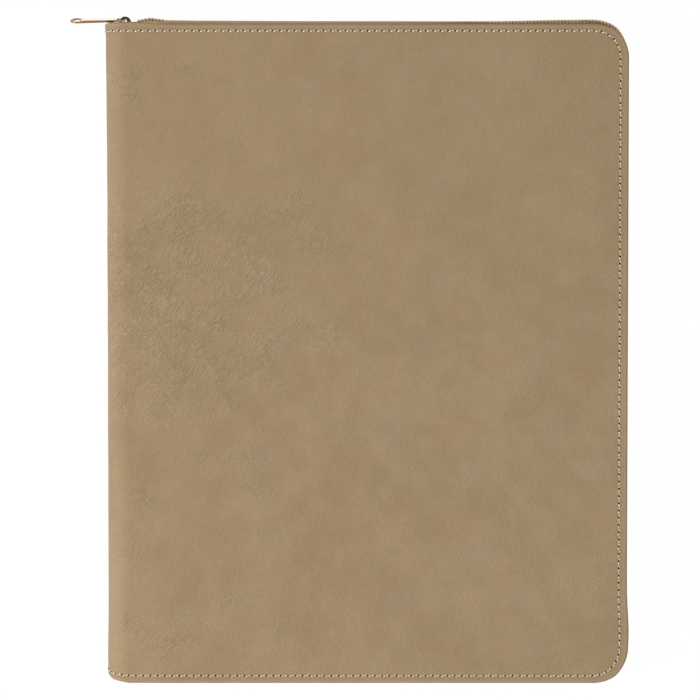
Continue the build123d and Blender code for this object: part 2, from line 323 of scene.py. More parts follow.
@dataclass(frozen=True)
class CoverLeather:
    """Soft smooth leather with cloudy colour, fine slanting grain and drawn creases; its colour carries a
    painted highlight along the edge, creases lightened partly as painted highlight, painted shade in the
    needle holes and painted shade towards the top edge.
    """

    name: str = "cover_leather"
    pale: Colour = (169, 145, 114)
    dark: Colour = (157, 133, 102)
    warm: Colour = (163, 138, 99)
    cool: Colour = (163, 140, 114)
    # rim: painted highlight, on a thin line along the rolled edge and on the crease ridges
    rim: Colour = (182, 158, 125)
    # hole: painted shade where the face is drawn into a needle hole
    hole: Colour = (70, 50, 30)
    cloud_size: float = 42.0
    patch_size: float = 11.0
    tint_size: float = 21.0
    tint_shift: Triple = (0.31, 0.17, 0.0)
    shaded_half: float = 120.0
    worked_from: float = 70.0
    worked_to: float = -110.0
    band_low: tuple[float, float] = (-48.0, 0.0)
    band_high: tuple[float, float] = (92.0, 55.0)
    gather_size: float = 20.0
    bend: tuple[float, float] = (32.0, 6.0)
    wave: tuple[float, float] = (5.0, 1.1)
    crease_turn: float = -46.0
    crease_length: float = 8.0
    crease_width: float = 1.55
    grain_wave: tuple[float, float] = (3.0, 0.8)
    grain_turn: float = -44.0
    grain_length: float = 3.0
    grain_width: float = 0.95
    pore_size: float = 0.8
    rim_inset: float = 1.25
    depth: float = 0.36

    def material(self) -> Material:
        """Build the material on the sheet's flat coordinates."""
        paint = Paint(self.name)
        flat = paint.flat()
        cloud = paint.grain(flat, per_mm(self.cloud_size), 3.0, 0.55)
        patch = paint.grain(flat, per_mm(self.patch_size), 3.0, 0.6)
        moved = paint.mapped(flat, (1.0, 1.0, 1.0), 0.0, self.tint_shift)
        tint = paint.grain(moved, per_mm(self.tint_size), 6.0, 0.72)
        tone = (cloud * 0.55 + patch * 0.45).step(0.34, 0.66)
        across, upward = (paint.axis(flat, name) for name in "XY")
        top_shade = upward.step(-self.shaded_half * MM, self.shaded_half * MM)
        low_end, high_end = ([place * MM for place in ends] for ends in (self.band_low, self.band_high))
        band = upward.step(*low_end) * upward.step(*high_end)
        worked = across.step(self.worked_from * MM, self.worked_to * MM) * (0.4 + band * 0.6)
        wavy = paint.warped(paint.warped(flat, *self.bend), *self.wave)
        slant = (per_mm(self.crease_length), per_mm(self.crease_width), 1.0)
        lines = paint.grain(paint.mapped(wavy, slant, self.crease_turn), 1.0, 2.5, 0.55)
        gathers = paint.grain(flat, per_mm(self.gather_size), 2.0, 0.5)
        drawn = (gathers * 0.75 + worked * 0.34).step(0.44, 0.8)
        ridge = (lines - 0.5).size().step(0.085, 0.0) * drawn
        fine = (per_mm(self.grain_length), per_mm(self.grain_width), 1.0)
        stirred = paint.warped(flat, *self.grain_wave)
        grain = paint.grain(paint.mapped(stirred, fine, self.grain_turn), 1.0, 3.0, 0.65)
        pores = paint.cells(flat, per_mm(self.pore_size)).step(0.1, 0.6)
        inset = paint.attribute(EDGE)
        rim = (inset - self.rim_inset).size().step(0.85, 0.2)
        hole = paint.attribute(PUCKER).step(0.25, 0.8)
        colour = paint.mix(tone, self.dark, self.pale)
        colour = paint.mix(tint.step(0.5, 0.75) * 0.7, colour, self.warm)
        colour = paint.mix(tint.step(0.5, 0.25) * 0.6, colour, self.cool)
        # Painted shade: the cover darkens towards its top edge.
        colour = paint.mix(top_shade * 0.3, colour, self.dark)
        colour = paint.mix(grain.step(0.66, 0.3) * 0.35, colour, self.dark)
        # Crease ridges lightened, partly as pull-up leather lightens and partly as painted highlight.
        colour = paint.mix(ridge * 0.5, colour, self.rim)
        # Painted highlight: a thin lighter line just inside the rolled edge.
        colour = paint.mix(rim * 0.3, colour, self.rim)
        # Painted shade in the needle holes.
        colour = paint.mix(hole * 0.7, colour, self.hole)
        height = grain * (1.55 - worked * 0.1) + lines * drawn * 0.75 + ridge * 1.05 + pores * 0.18
        normal = paint.bump(height, self.depth, 0.74)
        turned = inset.step(1.4, 0.7)
        roughness = 0.58 + (patch - 0.5) * 0.16 - ridge * 0.08 + turned * 0.36
        return paint.done(colour, roughness, normal, Specular_IOR_Level=0.16, Sheen_Weight=0.02)


@dataclass(frozen=True)
class PocketLeather:
    """Thin pocket leather: the cover's colour with a small pebbled grain."""

    name: str = "pocket_leather"
    pale: Colour = (150, 126, 96)
    dark: Colour = (138, 114, 84)
    cloud_size: float = 24.0
    pebble: float = 1.5

    def material(self) -> Material:
        """Build the material on the panel's flat coordinates."""
        paint = Paint(self.name)
        flat = paint.flat()
        cloud = paint.grain(flat, per_mm(self.cloud_size), 3.0, 0.55)
        pebbles = paint.cells(paint.warped(flat, 2.0, 0.4), per_mm(self.pebble)).step(0.05, 0.75)
        colour = paint.mix(cloud.step(0.3, 0.7), self.dark, self.pale)
        colour = paint.mix(pebbles * 0.3, colour, self.dark)
        normal = paint.bump(1 - pebbles, 0.18, 0.6)
        return paint.done(colour, 0.5 + (cloud - 0.5) * 0.15, normal, Specular_IOR_Level=0.4)


@dataclass(frozen=True)
class Weave:
    """Woven cloth, with its yarns along and across its flat coordinates, darkened where its mesh's edge mark
    is high; on the zip tape that darkening is painted shade.
    """

    name: str
    pale: Colour
    dark: Colour
    yarn: float
    slant: float = 0.5
    depth: float = 0.12
    roughness: float = 0.8
    sheen: float = 0.2
    edge_mark_darkening: Colour = (84, 62, 38)
    slub_size: float = 6.0

    def material(self) -> Material:
        """Build the material: slanted ribs of a twill, broken by the yarns that cross them."""
        paint = Paint(self.name)
        flat = paint.warped(paint.flat(), 5.0, 0.12)
        turn = 2 * math.pi * per_mm(self.yarn)
        along = paint.axis(flat, "X")
        across = paint.axis(flat, "Y")
        rib = ((along * self.slant + across) * turn).sine()
        yarn = ((along - across * self.slant) * (turn * 0.5)).sine()
        height = rib * 0.35 + yarn * 0.15 + 0.5
        slub = paint.grain(paint.flat(), per_mm(self.slub_size), 4.0, 0.65)
        colour = paint.mix((height * 0.7 + slub * 0.3).step(0.2, 0.8), self.dark, self.pale)
        # On the zip tape the mark is painted shade where the tape dives under the leather; on the lining the
        # mark is the distance from its edge, so most of the lining takes this colour.
        colour = paint.mix(paint.attribute(EDGE) * 0.65, colour, self.edge_mark_darkening)
        normal = paint.bump(height, self.depth, 0.7)
        return paint.done(colour, self.roughness + (slub - 0.5) * 0.1, normal,
                          Specular_IOR_Level=0.15, Sheen_Weight=self.sheen)


@dataclass(frozen=True)
class Elastic:
    """Ribbed elastic band."""

    name: str = "loop_elastic"
    pale: Colour = (92, 74, 54)
    dark: Colour = (58, 45, 32)
    rib: float = 1.3
    knit: float = 0.7
    fuzz: float = 1.1

    def material(self) -> Material:
        """Build the material on the band's flat coordinates."""
        paint = Paint(self.name)
        flat = paint.flat()
        rib = paint.axis(flat, "Y").ripple(self.rib)
        knit = paint.axis(flat, "X").ripple(self.knit)
        fuzz = paint.grain(flat, per_mm(self.fuzz), 3.0, 0.6)
        height = rib * 0.7 + knit * 0.2 + fuzz * 0.1
        colour = paint.mix(height, self.dark, self.pale)
        return paint.done(colour, 0.8 + (fuzz - 0.5) * 0.1, paint.bump(height, 0.25, 0.7),
                          Specular_IOR_Level=0.25, Sheen_Weight=0.25)


@dataclass(frozen=True)
class Thread:
    """Waxed sewing thread of two twisted plies, with painted shade towards one end and across the middle of
    each stitch, and painted shade on the row by the fore edge.
    """

    name: str = "sewing_thread"
    pale: Colour = (255, 247, 226)
    dark: Colour = (238, 217, 180)
    far: Colour = (214, 187, 148)
    worn_and_shaded: Colour = (222, 196, 158)
    gap: Colour = (132, 102, 66)
    shade_from: float = 110.0
    shade_to: float = 116.0
    wear_size: float = 9.0
    twist: float = 0.55

    def material(self) -> Material:
        """Build the material; the twist runs slantwise in the piece's own space."""
        paint = Paint(self.name)
        place = paint.place()
        sum_of_axes = paint.axis(place, "X") + paint.axis(place, "Y") * 0.9 + paint.axis(place, "Z") * 0.6
        ply = sum_of_axes.ripple(self.twist)
        wear = paint.grain(place, per_mm(self.wear_size), 2.0, 0.5)
        colour = paint.mix((ply * 0.4 + wear * 0.6).step(0.2, 0.75), self.dark, self.pale)
        along = paint.attribute(ALONG)
        # Painted shade towards one end of each stitch.
        colour = paint.mix(along.step(0.6, 0.1) * 0.3, colour, self.far)
        # Painted shade: a dark band across the middle of each stitch.
        colour = paint.mix((along - 0.48).size().step(0.15, 0.03) * 0.8, colour, self.gap)
        # Painted shade: the row by the fore edge is darker.
        worn_and_shaded = paint.axis(place, "X").step(self.shade_from * MM, self.shade_to * MM)
        colour = paint.mix(worn_and_shaded * 0.4, colour, self.worn_and_shaded)
        return paint.done(colour, 0.55 + (wear - 0.5) * 0.1, paint.bump(ply, 0.1, 0.5),
                          Specular_IOR_Level=0.35, Sheen_Weight=0.1)


@dataclass(frozen=True)
class Moulded:
    """Moulded nylon, or any other smooth dyed material with a faint mottle."""

    name: str
    pale: Colour
    dark: Colour
    mottle: float
    roughness: float
    depth: float = 0.05
    gloss: float = 0.4

    def material(self) -> Material:
        """Build the material in the piece's own space."""
        paint = Paint(self.name)
        place = paint.place()
        mottle = paint.grain(place, per_mm(self.mottle), 4.0, 0.6)
        colour = paint.mix(mottle.step(0.32, 0.68), self.dark, self.pale)
        normal = paint.bump(mottle, self.depth, 0.4)
        roughness = self.roughness + (mottle - 0.5) * 0.12
        return paint.done(colour, roughness, normal, Specular_IOR_Level=self.gloss)


@dataclass(frozen=True)
class PlatedGold:
    """Pale gold plating with drawn brush marks, patches of wear, and dark edges painted where the mesh marks
    them, as painted reflection and shade.
    """

    name: str
    bright: Colour
    worn_and_shaded: Colour
    edge: Colour
    roughness: float = 0.24
    brush: Triple = (6.0, 0.25, 0.25)
    wear_size: float = 2.6

    def material(self) -> Material:
        """Build the material in the piece's own space."""
        paint = Paint(self.name)
        place = paint.place()
        x, y, z = (per_mm(size) for size in self.brush)
        brushed = paint.grain(paint.mapped(place, (x, y, z)), 1.0, 2.0, 0.5)
        wear = paint.grain(place, per_mm(self.wear_size), 3.0, 0.6)
        colour = paint.mix(wear.step(0.5, 0.8) * 0.6, self.bright, self.worn_and_shaded)
        # Painted reflection and shade on the faces that the mesh marks.
        colour = paint.mix(paint.attribute(EDGE), colour, self.edge)
        roughness = self.roughness + (wear - 0.5) * 0.2 + (brushed - 0.5) * 0.1
        return paint.done(colour, roughness, paint.bump(brushed, 0.02, 0.5), Metallic=1.0)


@dataclass(frozen=True)
class RuledPaper:
    """White writing paper with ruled lines, a margin line, and the stack's leaves at its sides."""

    name: str = "ruled_paper"
    sheet: Colour = (244, 241, 232)
    # shade: the fibres' darker tone, and painted shade between the leaves down the stack's sides
    shade: Colour = (232, 227, 214)
    rule: Colour = (150, 172, 204)
    margin: Colour = (206, 120, 116)
    spacing: float = 7.1
    width: float = 0.32
    margin_place: float = -71.5
    first_rule: float = 108.0
    fade: float = 2.0
    leaf: float = 0.32
    fibre: float = 1.6
    top: float = 10.6

    def material(self) -> Material:
        """Build the material in the pad's own space."""
        paint = Paint(self.name)
        place = paint.place()
        x, y, z = (paint.axis(place, name) for name in "XYZ")
        fibre = paint.grain(place, per_mm(self.fibre), 4.0, 0.6)
        spacing, width = self.spacing * MM, self.width * MM
        facing = z.step((self.top - 0.06) * MM, (self.top - 0.02) * MM)
        row = (y + spacing / 2).remainder(spacing) - spacing / 2
        rules = row.size().step(width, width * 0.5) * facing
        rules = rules * y.step((self.first_rule + self.fade) * MM, self.first_rule * MM)
        margin = (x - self.margin_place * MM).size().step(width, width * 0.5) * facing
        leaves = (z * (2 * math.pi * per_mm(self.leaf))).sine() * (1 - facing)
        colour = paint.mix(fibre * 0.5 + leaves * 0.35 + 0.1, self.sheet, self.shade)
        colour = paint.mix(rules * 0.85, colour, self.rule)
        colour = paint.mix(margin * 0.85, colour, self.margin)
        return paint.done(colour, 0.85, paint.bump(fibre * 0.3 + leaves, 0.05, 0.4), Specular_IOR_Level=0.2)


class Finishes:
    """Every finish of the case, each made once."""

    def __init__(self) -> None:
        """Build the materials."""
        self.leather = CoverLeather().material()
        self.pocket = PocketLeather().material()
        self.lining = Weave("lining_twill", (112, 94, 72), (84, 69, 51), yarn=0.9).material()
        # The tape's colour is lighter than the cloth's own, as painted light for the zip's shaded recess.
        self.tape = Weave("zip_tape_weave", (210, 180, 140), (166, 138, 102), yarn=0.9, slant=0.9, depth=0.2,
                          roughness=0.9, sheen=0.0).material()
        self.elastic = Elastic().material()
        self.thread = Thread().material()
        # The dark bowls in the needle holes are painted shade.
        self.needle_hole_shade = Moulded("needle_hole_shade", (72, 43, 9), (50, 29, 5), mottle=1.0, roughness=1.0,
                                   gloss=0.0).material()
        # The teeth's nylon is lighter than real nylon as painted light for the zip's shaded recess, and the
        # core between the turns is darker as painted shade.
        self.nylon_core = Moulded("zip_core", (182, 155, 118), (154, 127, 91), mottle=2.2, roughness=0.8,
                                  gloss=0.0).material()
        self.nylon = Moulded("zip_nylon", (248, 226, 192), (224, 199, 162), mottle=2.2, roughness=0.7,
                             gloss=0.05).material()
        self.gold = PlatedGold("plated_gold", (253, 246, 235), (240, 225, 200), (132, 97, 54)).material()
        # The slider's gold is darkened as painted shade under the pull.
        self.slider_gold = PlatedGold("slider_gold", (190, 160, 112), (138, 108, 66), (84, 60, 25),
                                      roughness=0.32).material()
        # A dark gold for the strap and the stops: painted reflection of dark surroundings.
        self.dark_gold = PlatedGold("dark_reflection_gold", (84, 60, 25), (46, 31, 10), (46, 31, 10),
                                    roughness=0.36).material()
        self.board = Moulded("stiffener_board", (172, 164, 150), (146, 138, 124), mottle=3.0, roughness=0.9,
                             depth=0.1).material()
        self.backing = Moulded("backing_board", (158, 142, 118), (134, 118, 95), mottle=2.4, roughness=0.9,
                               depth=0.1).material()
        self.paper = RuledPaper().material()
        self.binding = Moulded("binding_tape", (74, 60, 45), (54, 43, 31), mottle=1.2, roughness=0.75,
                               depth=0.12).material()


class Route:
    """A flat path of straight runs whose corners are rounded by arcs."""

    def __init__(self, corners: Sequence[Triple], closed: bool = False) -> None:
        """Work out the runs and arcs.

        Args:
            corners: X, Y and radius of each corner, in order.
            closed: Whether the path comes back to its start.
        """
        self.closed = closed
        points = [np.array(corner[:2], float) for corner in corners]
        count = len(points)
        entries, exits, arcs = [], [], []
        for index, (point, (_, _, radius)) in enumerate(zip(points, corners)):
            before, after = points[index - 1] - point, points[(index + 1) % count] - point
            inner = closed or 0 < index < count - 1
            if not inner or radius <= 0:
                entries.append(point)
                exits.append(point)
                arcs.append(None)
                continue
            before, after = before / np.linalg.norm(before), after / np.linalg.norm(after)
            half_angle = math.acos(float(np.clip(before @ after, -1, 1))) / 2
            reach = radius / math.tan(half_angle)
            middle = (before + after) / np.linalg.norm(before + after)
            entries.append(point + before * reach)
            exits.append(point + after * reach)
            arcs.append((point + middle * radius / math.sin(half_angle), radius))
        self.pieces: list[tuple[Array, Array, Optional[Array], float]] = []
        for index in range(count):
            if arcs[index] is not None:
                self._add_arc(entries[index], exits[index], *arcs[index])
            if closed or index < count - 1:
                self._add_run(exits[index], entries[(index + 1) % count])
        self.length = sum(piece[3] for piece in self.pieces)

    def _add_run(self, start: Array, end: Array) -> None:
        """Add a straight run."""
        length = float(np.linalg.norm(end - start))
        if length > 1e-6:
            self.pieces.append((start, end, None, length))

    def _add_arc(self, start: Array, end: Array, centre: Array, radius: float) -> None:
        """Add the arc round a corner."""
        cosine = float((start - centre) @ (end - centre)) / radius**2
        self.pieces.append((start, end, centre, radius * math.acos(max(-1.0, min(1.0, cosine)))))

    def stations(self, step: float) -> Array:
        """Distances along the path, about a step apart, with each run's and arc's ends among them."""
        found, start = [], 0.0
        for piece in self.pieces:
            count = max(1, round(piece[3] / step))
            found.extend(start + piece[3] * np.arange(count) / count)
            start += piece[3]
        if not self.closed:
            found.append(self.length)
        return np.array(found)

    def at(self, distances: Array) -> tuple[Array, Array]:
        """Points on the path and its directions there.

        Args:
            distances: Distances from the path's start.

        Returns:
            The points, and unit vectors along the path.
        """
        ends = np.cumsum([piece[3] for piece in self.pieces])
        which = np.minimum(np.searchsorted(ends, distances, side="right"), len(self.pieces) - 1)
        points, directions = np.zeros((len(distances), 2)), np.zeros((len(distances), 2))
        for index, (start, end, centre, length) in enumerate(self.pieces):
            chosen = which == index
            share = ((distances[chosen] - (ends[index] - length)) / length)[:, None]
            if centre is None:
                points[chosen] = start + (end - start) * share
                directions[chosen] = (end - start) / length
                continue
            spoke, last = start - centre, end - centre
            radius = np.linalg.norm(spoke)
            turn = math.copysign(length / radius, spoke[0] * last[1] - spoke[1] * last[0])
            cosine, sine = np.cos(turn * share[:, 0]), np.sin(turn * share[:, 0])
            arms = np.stack([spoke[0] * cosine - spoke[1] * sine, spoke[0] * sine + spoke[1] * cosine], 1)
            points[chosen] = centre + arms
            directions[chosen] = math.copysign(1, turn) * np.stack([-arms[:, 1], arms[:, 0]], 1) / radius
        return points, directions


def left_of(directions: Array) -> Array:
    """Unit vectors to the left of flat directions."""
    return np.stack([-directions[:, 1], directions[:, 0]], 1)


def to_rim(points: Array, rim: Array) -> Array:
    """Distances of flat points to the nearest point of an outline."""
    tree = KDTree(len(rim))
    for index, (x, y) in enumerate(rim):
        tree.insert((x, y, 0), index)
    tree.balance()
    return np.array([tree.find((x, y, 0))[2] for x, y in points])


def fill_flat(rim: Array, spacing: float) -> tuple[Array, list[tuple[int, ...]]]:
    """Fill a flat outline with triangles.

    Args:
        rim: The outline's points in order.
        spacing: Distance between the points inside.

    Returns:
        The inner points, and faces that number the rim's points first and then the inner ones.
    """
    low, high = rim.min(0), rim.max(0)
    rows = np.arange(low[1] + spacing / 2, high[1], spacing * 0.87)
    columns = np.arange(low[0] + spacing / 2, high[0], spacing)
    grid = np.array([(x + (index % 2) * spacing / 2, y) for index, y in enumerate(rows) for x in columns])
    ahead = np.roll(rim, -1, axis=0)
    inside = np.zeros(len(grid), bool)
    for (x0, y0), (x1, y1) in zip(rim, ahead):
        if y0 != y1:
            crosses = (y0 > grid[:, 1]) != (y1 > grid[:, 1])
            inside ^= crosses & (grid[:, 0] < (x1 - x0) * (grid[:, 1] - y0) / (y1 - y0) + x0)
    inner = grid[inside & (to_rim(grid, rim) > spacing * 0.45)]
    points = [Vector(point) for point in np.concatenate([rim, inner])]
    _, _, faces, sources, _, _ = delaunay_2d_cdt(points, [], [list(range(len(rim)))], 1, 1e-7)
    return inner, [tuple(sources[corner][0] for corner in face) for face in faces]


def renumbered(faces: Sequence[Sequence[int]], ring: int, count: int, inner: int) -> list[tuple[int, ...]]:
    """Give a fill's faces the numbers of a mesh.

    Args:
        faces: Faces that number an outline's points first and then the inner ones.
        ring: The mesh's number for the outline's first point.
        count: How many points the outline has.
        inner: The mesh's number for the first inner point.

    Returns:
        The faces in the mesh's numbers.
    """
    return [tuple(corner + ring if corner < count else corner - count + inner for corner in face)
            for face in faces]


def outward(mesh: bpy.types.Mesh) -> None:
    """Point a closed mesh's faces outwards."""
    work = bmesh.new()
    work.from_mesh(mesh)
    bmesh.ops.recalc_face_normals(work, faces=work.faces)
    work.to_mesh(mesh)
    work.free()


def put_in_scene(name: str, data: bpy.types.ID) -> Piece:
    """Make an object of its data and link it to the scene."""
    holder = bpy.data.objects.new(name, data)
    bpy.context.scene.collection.objects.link(holder)
    return holder


def set_mark(mesh: bpy.types.Mesh, name: str, values: Array, domain: str = "POINT") -> None:
    """Store one value for each of a mesh's points or faces, which its finish reads by name."""
    mesh.attributes.new(name, "FLOAT", domain).data.foreach_set("value", values.astype(np.float32).ravel())


def fix(piece: Piece, body: str, slot: str, *nodes: str) -> None:
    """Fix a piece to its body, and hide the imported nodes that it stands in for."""
    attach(piece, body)
    if nodes:
        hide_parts(*nodes)


def box_mm(node: str) -> tuple[Vector, Vector]:
    """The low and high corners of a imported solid's box, in millimetres."""
    low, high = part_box(node)
    return low / MM, high / MM


def make_piece(name: str, points: Array, faces: Sequence[Sequence[int]], finish: Material,
               flat: Optional[Array] = None, marks: Optional[dict[str, Array]] = None) -> Piece:
    """Make a smooth closed piece, with its place in its mesh.

    Args:
        name: The piece's name.
        points: Its points, in millimetres.
        faces: Its faces, as numbers of points.
        finish: Its material.
        flat: Its points laid out flat, in millimetres, where its pattern follows the surface.
        marks: Values that the mesh carries at its points.

    Returns:
        The new object.
    """
    mesh = bpy.data.meshes.new(name)
    mesh.from_pydata((np.asarray(points, float) * MM).tolist(), [], [list(face) for face in faces])
    outward(mesh)
    mesh.polygons.foreach_set("use_smooth", [True] * len(mesh.polygons))
    if flat is not None:
        corners = np.zeros(len(mesh.loops), np.int32)
        mesh.loops.foreach_get("vertex_index", corners)
        layer = mesh.uv_layers.new(name=FLAT_UV)
        layer.uv.foreach_set("vector", (flat[corners] * MM).astype(np.float32).ravel())
    for mark, values in (marks or {}).items():
        set_mark(mesh, mark, values)
    mesh.materials.append(finish)
    mesh.update()
    log.info("%s: %d points", name, len(mesh.vertices))
    return put_in_scene(name, mesh)


def strips(ring_starts: Sequence[int], count: int, closed: bool) -> list[tuple[int, ...]]:
    """Faces between rings of points that lie one after another in a mesh."""
    last = count if closed else count - 1
    found = []
    for low, high in zip(ring_starts, ring_starts[1:]):
        for index in range(last):
            after = (index + 1) % count
            found.append((low + index, low + after, high + after, high + index))
    return found


class CopyShape(Enum):
    """What a row of copies is made of."""

    STITCH = "stitch"
    HOLE = "hole"
    TOOTH = "tooth"


class CopyRow(Nodes):
    """A Geometry Nodes tree with named inputs, which sets copies of one small shape along a path."""

    def __init__(self, shape: CopyShape) -> None:
        """Build the tree for one shape."""
        self.shape = shape
        self.group = bpy.data.node_groups.new(f"{shape.value}_row", "GeometryNodeTree")
        super().__init__(self.group)
        face = self.group.interface
        face.new_socket("Path", in_out="INPUT", socket_type="NodeSocketGeometry")
        face.new_socket("Count", in_out="INPUT", socket_type="NodeSocketInt")
        for name in ("Length", "Width", "Height", "Wire", "Slant", "Lean", "Wander"):
            face.new_socket(name, in_out="INPUT", socket_type="NodeSocketFloat")
        face.new_socket("Seed", in_out="INPUT", socket_type="NodeSocketInt")
        face.new_socket("Finish", in_out="INPUT", socket_type="NodeSocketMaterial")
        face.new_socket("Row", in_out="OUTPUT", socket_type="NodeSocketGeometry")
        self.inputs = self.group.nodes.new("NodeGroupInput")
        self._connect()

    def _input(self, name: str) -> Wire:
        """One of the tree's named inputs."""
        return Wire(self, self.inputs.outputs[name])

    def _tube(self, line: Wire, sides: int, share: Value = 1.0) -> Wire:
        """A tube round a line, whose radius is a share of the wire's."""
        ring = self.node("GeometryNodeCurvePrimitiveCircle", None,
                         {"Resolution": sides, "Radius": self._input("Wire")})
        return self.node("GeometryNodeCurveToMesh", None,
                         {"Curve": line, "Profile Curve": ring, "Scale": share, "Fill Caps": True})

    def _ply(self, line: Wire, phase: float) -> Wire:
        """One of a thread's two plies, which turn once round each other."""
        along = self.node("GeometryNodeSplineParameter")
        turn = along * (2 * math.pi) + phase
        reach = self._input("Wire") * 0.55
        offset = self.vector(0.0, (turn + math.pi / 2).sine() * reach, turn.sine() * reach)
        moved = self.node("GeometryNodeSetPosition", None, {"Geometry": line, "Offset": offset})
        marked = self.node("GeometryNodeStoreNamedAttribute", {"data_type": "FLOAT", "domain": "POINT"},
                           {"Geometry": moved, "Name": ALONG, "Value": along})
        return self._tube(marked, 6, along * 0.25 + 0.6)

    def _stitch(self) -> Wire:
        """A thread of two plies that comes up out of the leather and goes down again."""
        half = self._input("Length") * 0.5
        dip = self._input("Height") * -1.0
        sockets = {"Resolution": 10, "Start": self.vector(half * -1.0, 0.0, dip),
                   "Middle": self.vector(half * 0.3, 0.0, self._input("Height") * 2.0),
                   "End": self.vector(half, 0.0, dip)}
        line = self.node("GeometryNodeCurveQuadraticBezier", None, sockets)
        plies = [self._ply(line, phase) for phase in (0.6, 0.6 + math.pi)]
        return self.node("GeometryNodeJoinGeometry", None, {"Geometry": plies})

    def _hole(self) -> Wire:
        """The sunk mouth of a needle hole."""
        ball = self.node("GeometryNodeMeshUVSphere", None, {"Segments": 8, "Rings": 5, "Radius": 0.5})
        scale = self.vector(self._input("Length"), self._input("Width"), self._input("Height"))
        return self.node("GeometryNodeTransform", None, {"Geometry": ball, "Scale": scale})

    def _tooth(self) -> Wire:
        """One turn of a zip's coil, standing across the path."""
        ring = self.node("GeometryNodeCurvePrimitiveCircle", None, {"Resolution": 11, "Radius": 0.5})
        upright = self.node("GeometryNodeTransform", None,
                            {"Geometry": ring, "Rotation": (0.0, math.pi / 2, 0.0)})
        scale = self.vector(1.0, self._input("Width"), self._input("Height"))
        shaped = self.node("GeometryNodeTransform", None, {"Geometry": upright, "Scale": scale})
        return self._tube(shaped, 6)

    def _connect(self) -> None:
        """Join the shape, the path and the random lean into the row."""
        copy = {CopyShape.STITCH: self._stitch, CopyShape.HOLE: self._hole, CopyShape.TOOTH: self._tooth}
        lean = self.node("FunctionNodeEulerToRotation", None,
                         {0: self.vector(0.0, self._input("Lean"), self._input("Slant"))})
        leaning = self.node("GeometryNodeTransform", None, {"Geometry": copy[self.shape](), "Rotation": lean})
        line = self.node("GeometryNodeMeshToCurve", None, {"Mesh": self._input("Path")})
        points = self.node("GeometryNodeResampleCurve", {"mode": "COUNT"},
                           {"Curve": line, "Count": self._input("Count")})
        up = self.node("GeometryNodeInputNamedAttribute", {"data_type": "FLOAT_VECTOR"}, {"Name": UP})
        facing = self.node("FunctionNodeAxesToRotation", {"primary_axis": "X", "secondary_axis": "Z"},
                           {0: self.node("GeometryNodeInputTangent"), 1: up})
        spread = self._input("Wander")
        stray = self.node("FunctionNodeRandomValue", {"data_type": "FLOAT"},
                          {2: spread * -1.0, 3: spread, "Seed": self._input("Seed")}, 1)
        strayed = self.node("FunctionNodeEulerToRotation", None, {0: self.vector(0.0, 0.0, stray)})
        turned = self.node("FunctionNodeRotateRotation", {"rotation_space": "LOCAL"}, {0: facing, 1: strayed})
        copies = self.node("GeometryNodeInstanceOnPoints", None,
                           {"Points": points, "Instance": leaning, "Rotation": turned})
        real = self.node("GeometryNodeRealizeInstances", None, {0: copies})
        smooth = self.node("GeometryNodeSetShadeSmooth", None, {"Geometry": real})
        dressed = self.node("GeometryNodeSetMaterial", None,
                            {"Geometry": smooth, "Material": self._input("Finish")})
        self.node_end("NodeGroupOutput", dressed)

    def build(self, name: str, path: Array, ups: Array, finish: Material, **inputs: float) -> Piece:
        """Run the tree on a path and keep the result as a plain mesh.

        Args:
            name: The piece's name.
            path: Points of the path, in millimetres.
            ups: Unit vectors out of the surface at those points.
            finish: The copies' material.
            inputs: Values of the tree's inputs, with lengths in millimetres and angles in degrees.

        Returns:
            The new object.
        """
        mesh = bpy.data.meshes.new(name)
        links = [(index, index + 1) for index in range(len(path) - 1)]
        mesh.from_pydata((path * MM).tolist(), links, [])
        store = mesh.attributes.new(UP, "FLOAT_VECTOR", "POINT").data
        store.foreach_set("vector", ups.astype(np.float32).ravel())
        piece = put_in_scene(name, mesh)
        modifier = piece.modifiers.new("row", "NODES")
        modifier.node_group = self.group
        values: dict = {"Finish": finish, "Seed": 7}
        for key, value in inputs.items():
            label = key.capitalize()
            angle = label in ("Slant", "Lean", "Wander")
            values[label] = value if label == "Count" else math.radians(value) if angle else value * MM
        for item in self.group.interface.items_tree:
            if item.in_out == "INPUT" and item.name in values:
                modifier[item.identifier] = values[item.name]
        view = bpy.context.evaluated_depsgraph_get()
        made = bpy.data.meshes.new_from_object(piece.evaluated_get(view), depsgraph=view)
        piece.modifiers.remove(modifier)
        piece.data = made
        made.name = name
        bpy.data.meshes.remove(mesh)
        log.info("%s: %d points", name, len(made.vertices))
        return piece


class Bench(Finishes):
    """What every sub-assembly is dressed with: the finishes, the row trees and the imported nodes."""

    def __init__(self, nodes: dict[str, Piece]) -> None:
        """Make the finishes and the row trees."""
        super().__init__()
        self.rows = {shape: CopyRow(shape) for shape in CopyShape}
        self.nodes = nodes

    def finish_node(self, node: str, finish: Material) -> None:
        """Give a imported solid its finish."""
        materials = self.nodes[node].data.materials
        materials.clear()
        materials.append(finish)
        log.info("%s: finish %s", node, finish.name)


class Side(Enum):
    """The two covers."""

    FRONT = "front"
    BACK = "back"

    @property
    def body(self) -> str:
        """The cover's moving body."""
        return f"{self.value}_cover"


@dataclass(frozen=True)
class Case:
    """Main sizes of the closed case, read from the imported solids."""

    half_width: float
    half_height: float
    thickness: float
    flat_left: float
    corner: float = 15.9

    @classmethod
    def from_frame(cls) -> "Case":
        """Read the sizes from the leather's and the lining's boxes."""
        _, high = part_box("front_leather")
        low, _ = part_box("front_lining")
        return cls(high.x / MM, high.y / MM, high.z / MM, low.x / MM)

    @property
    def fold_radius(self) -> float:
        """Outer radius of the folds beside the spine."""
        return self.half_width + self.flat_left

    @property
    def middle(self) -> float:
        """Height of the plane between the two covers."""
        return self.thickness / 2

    def placed(self, points: Array, side: Side) -> Array:
        """Points of the front cover, or their mirror image on the back cover."""
        if side is Side.FRONT:
            return points
        return points * (1, 1, -1) + (0, 0, self.thickness)

    def bend(self, piece: Piece, side: Side) -> None:
        """Bake a piece's place into its mesh."""
        top, fold = self.thickness * MM, self.fold_radius * MM
        if side is Side.FRONT:
            top - fold
            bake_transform(piece)
        else:
            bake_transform(piece)


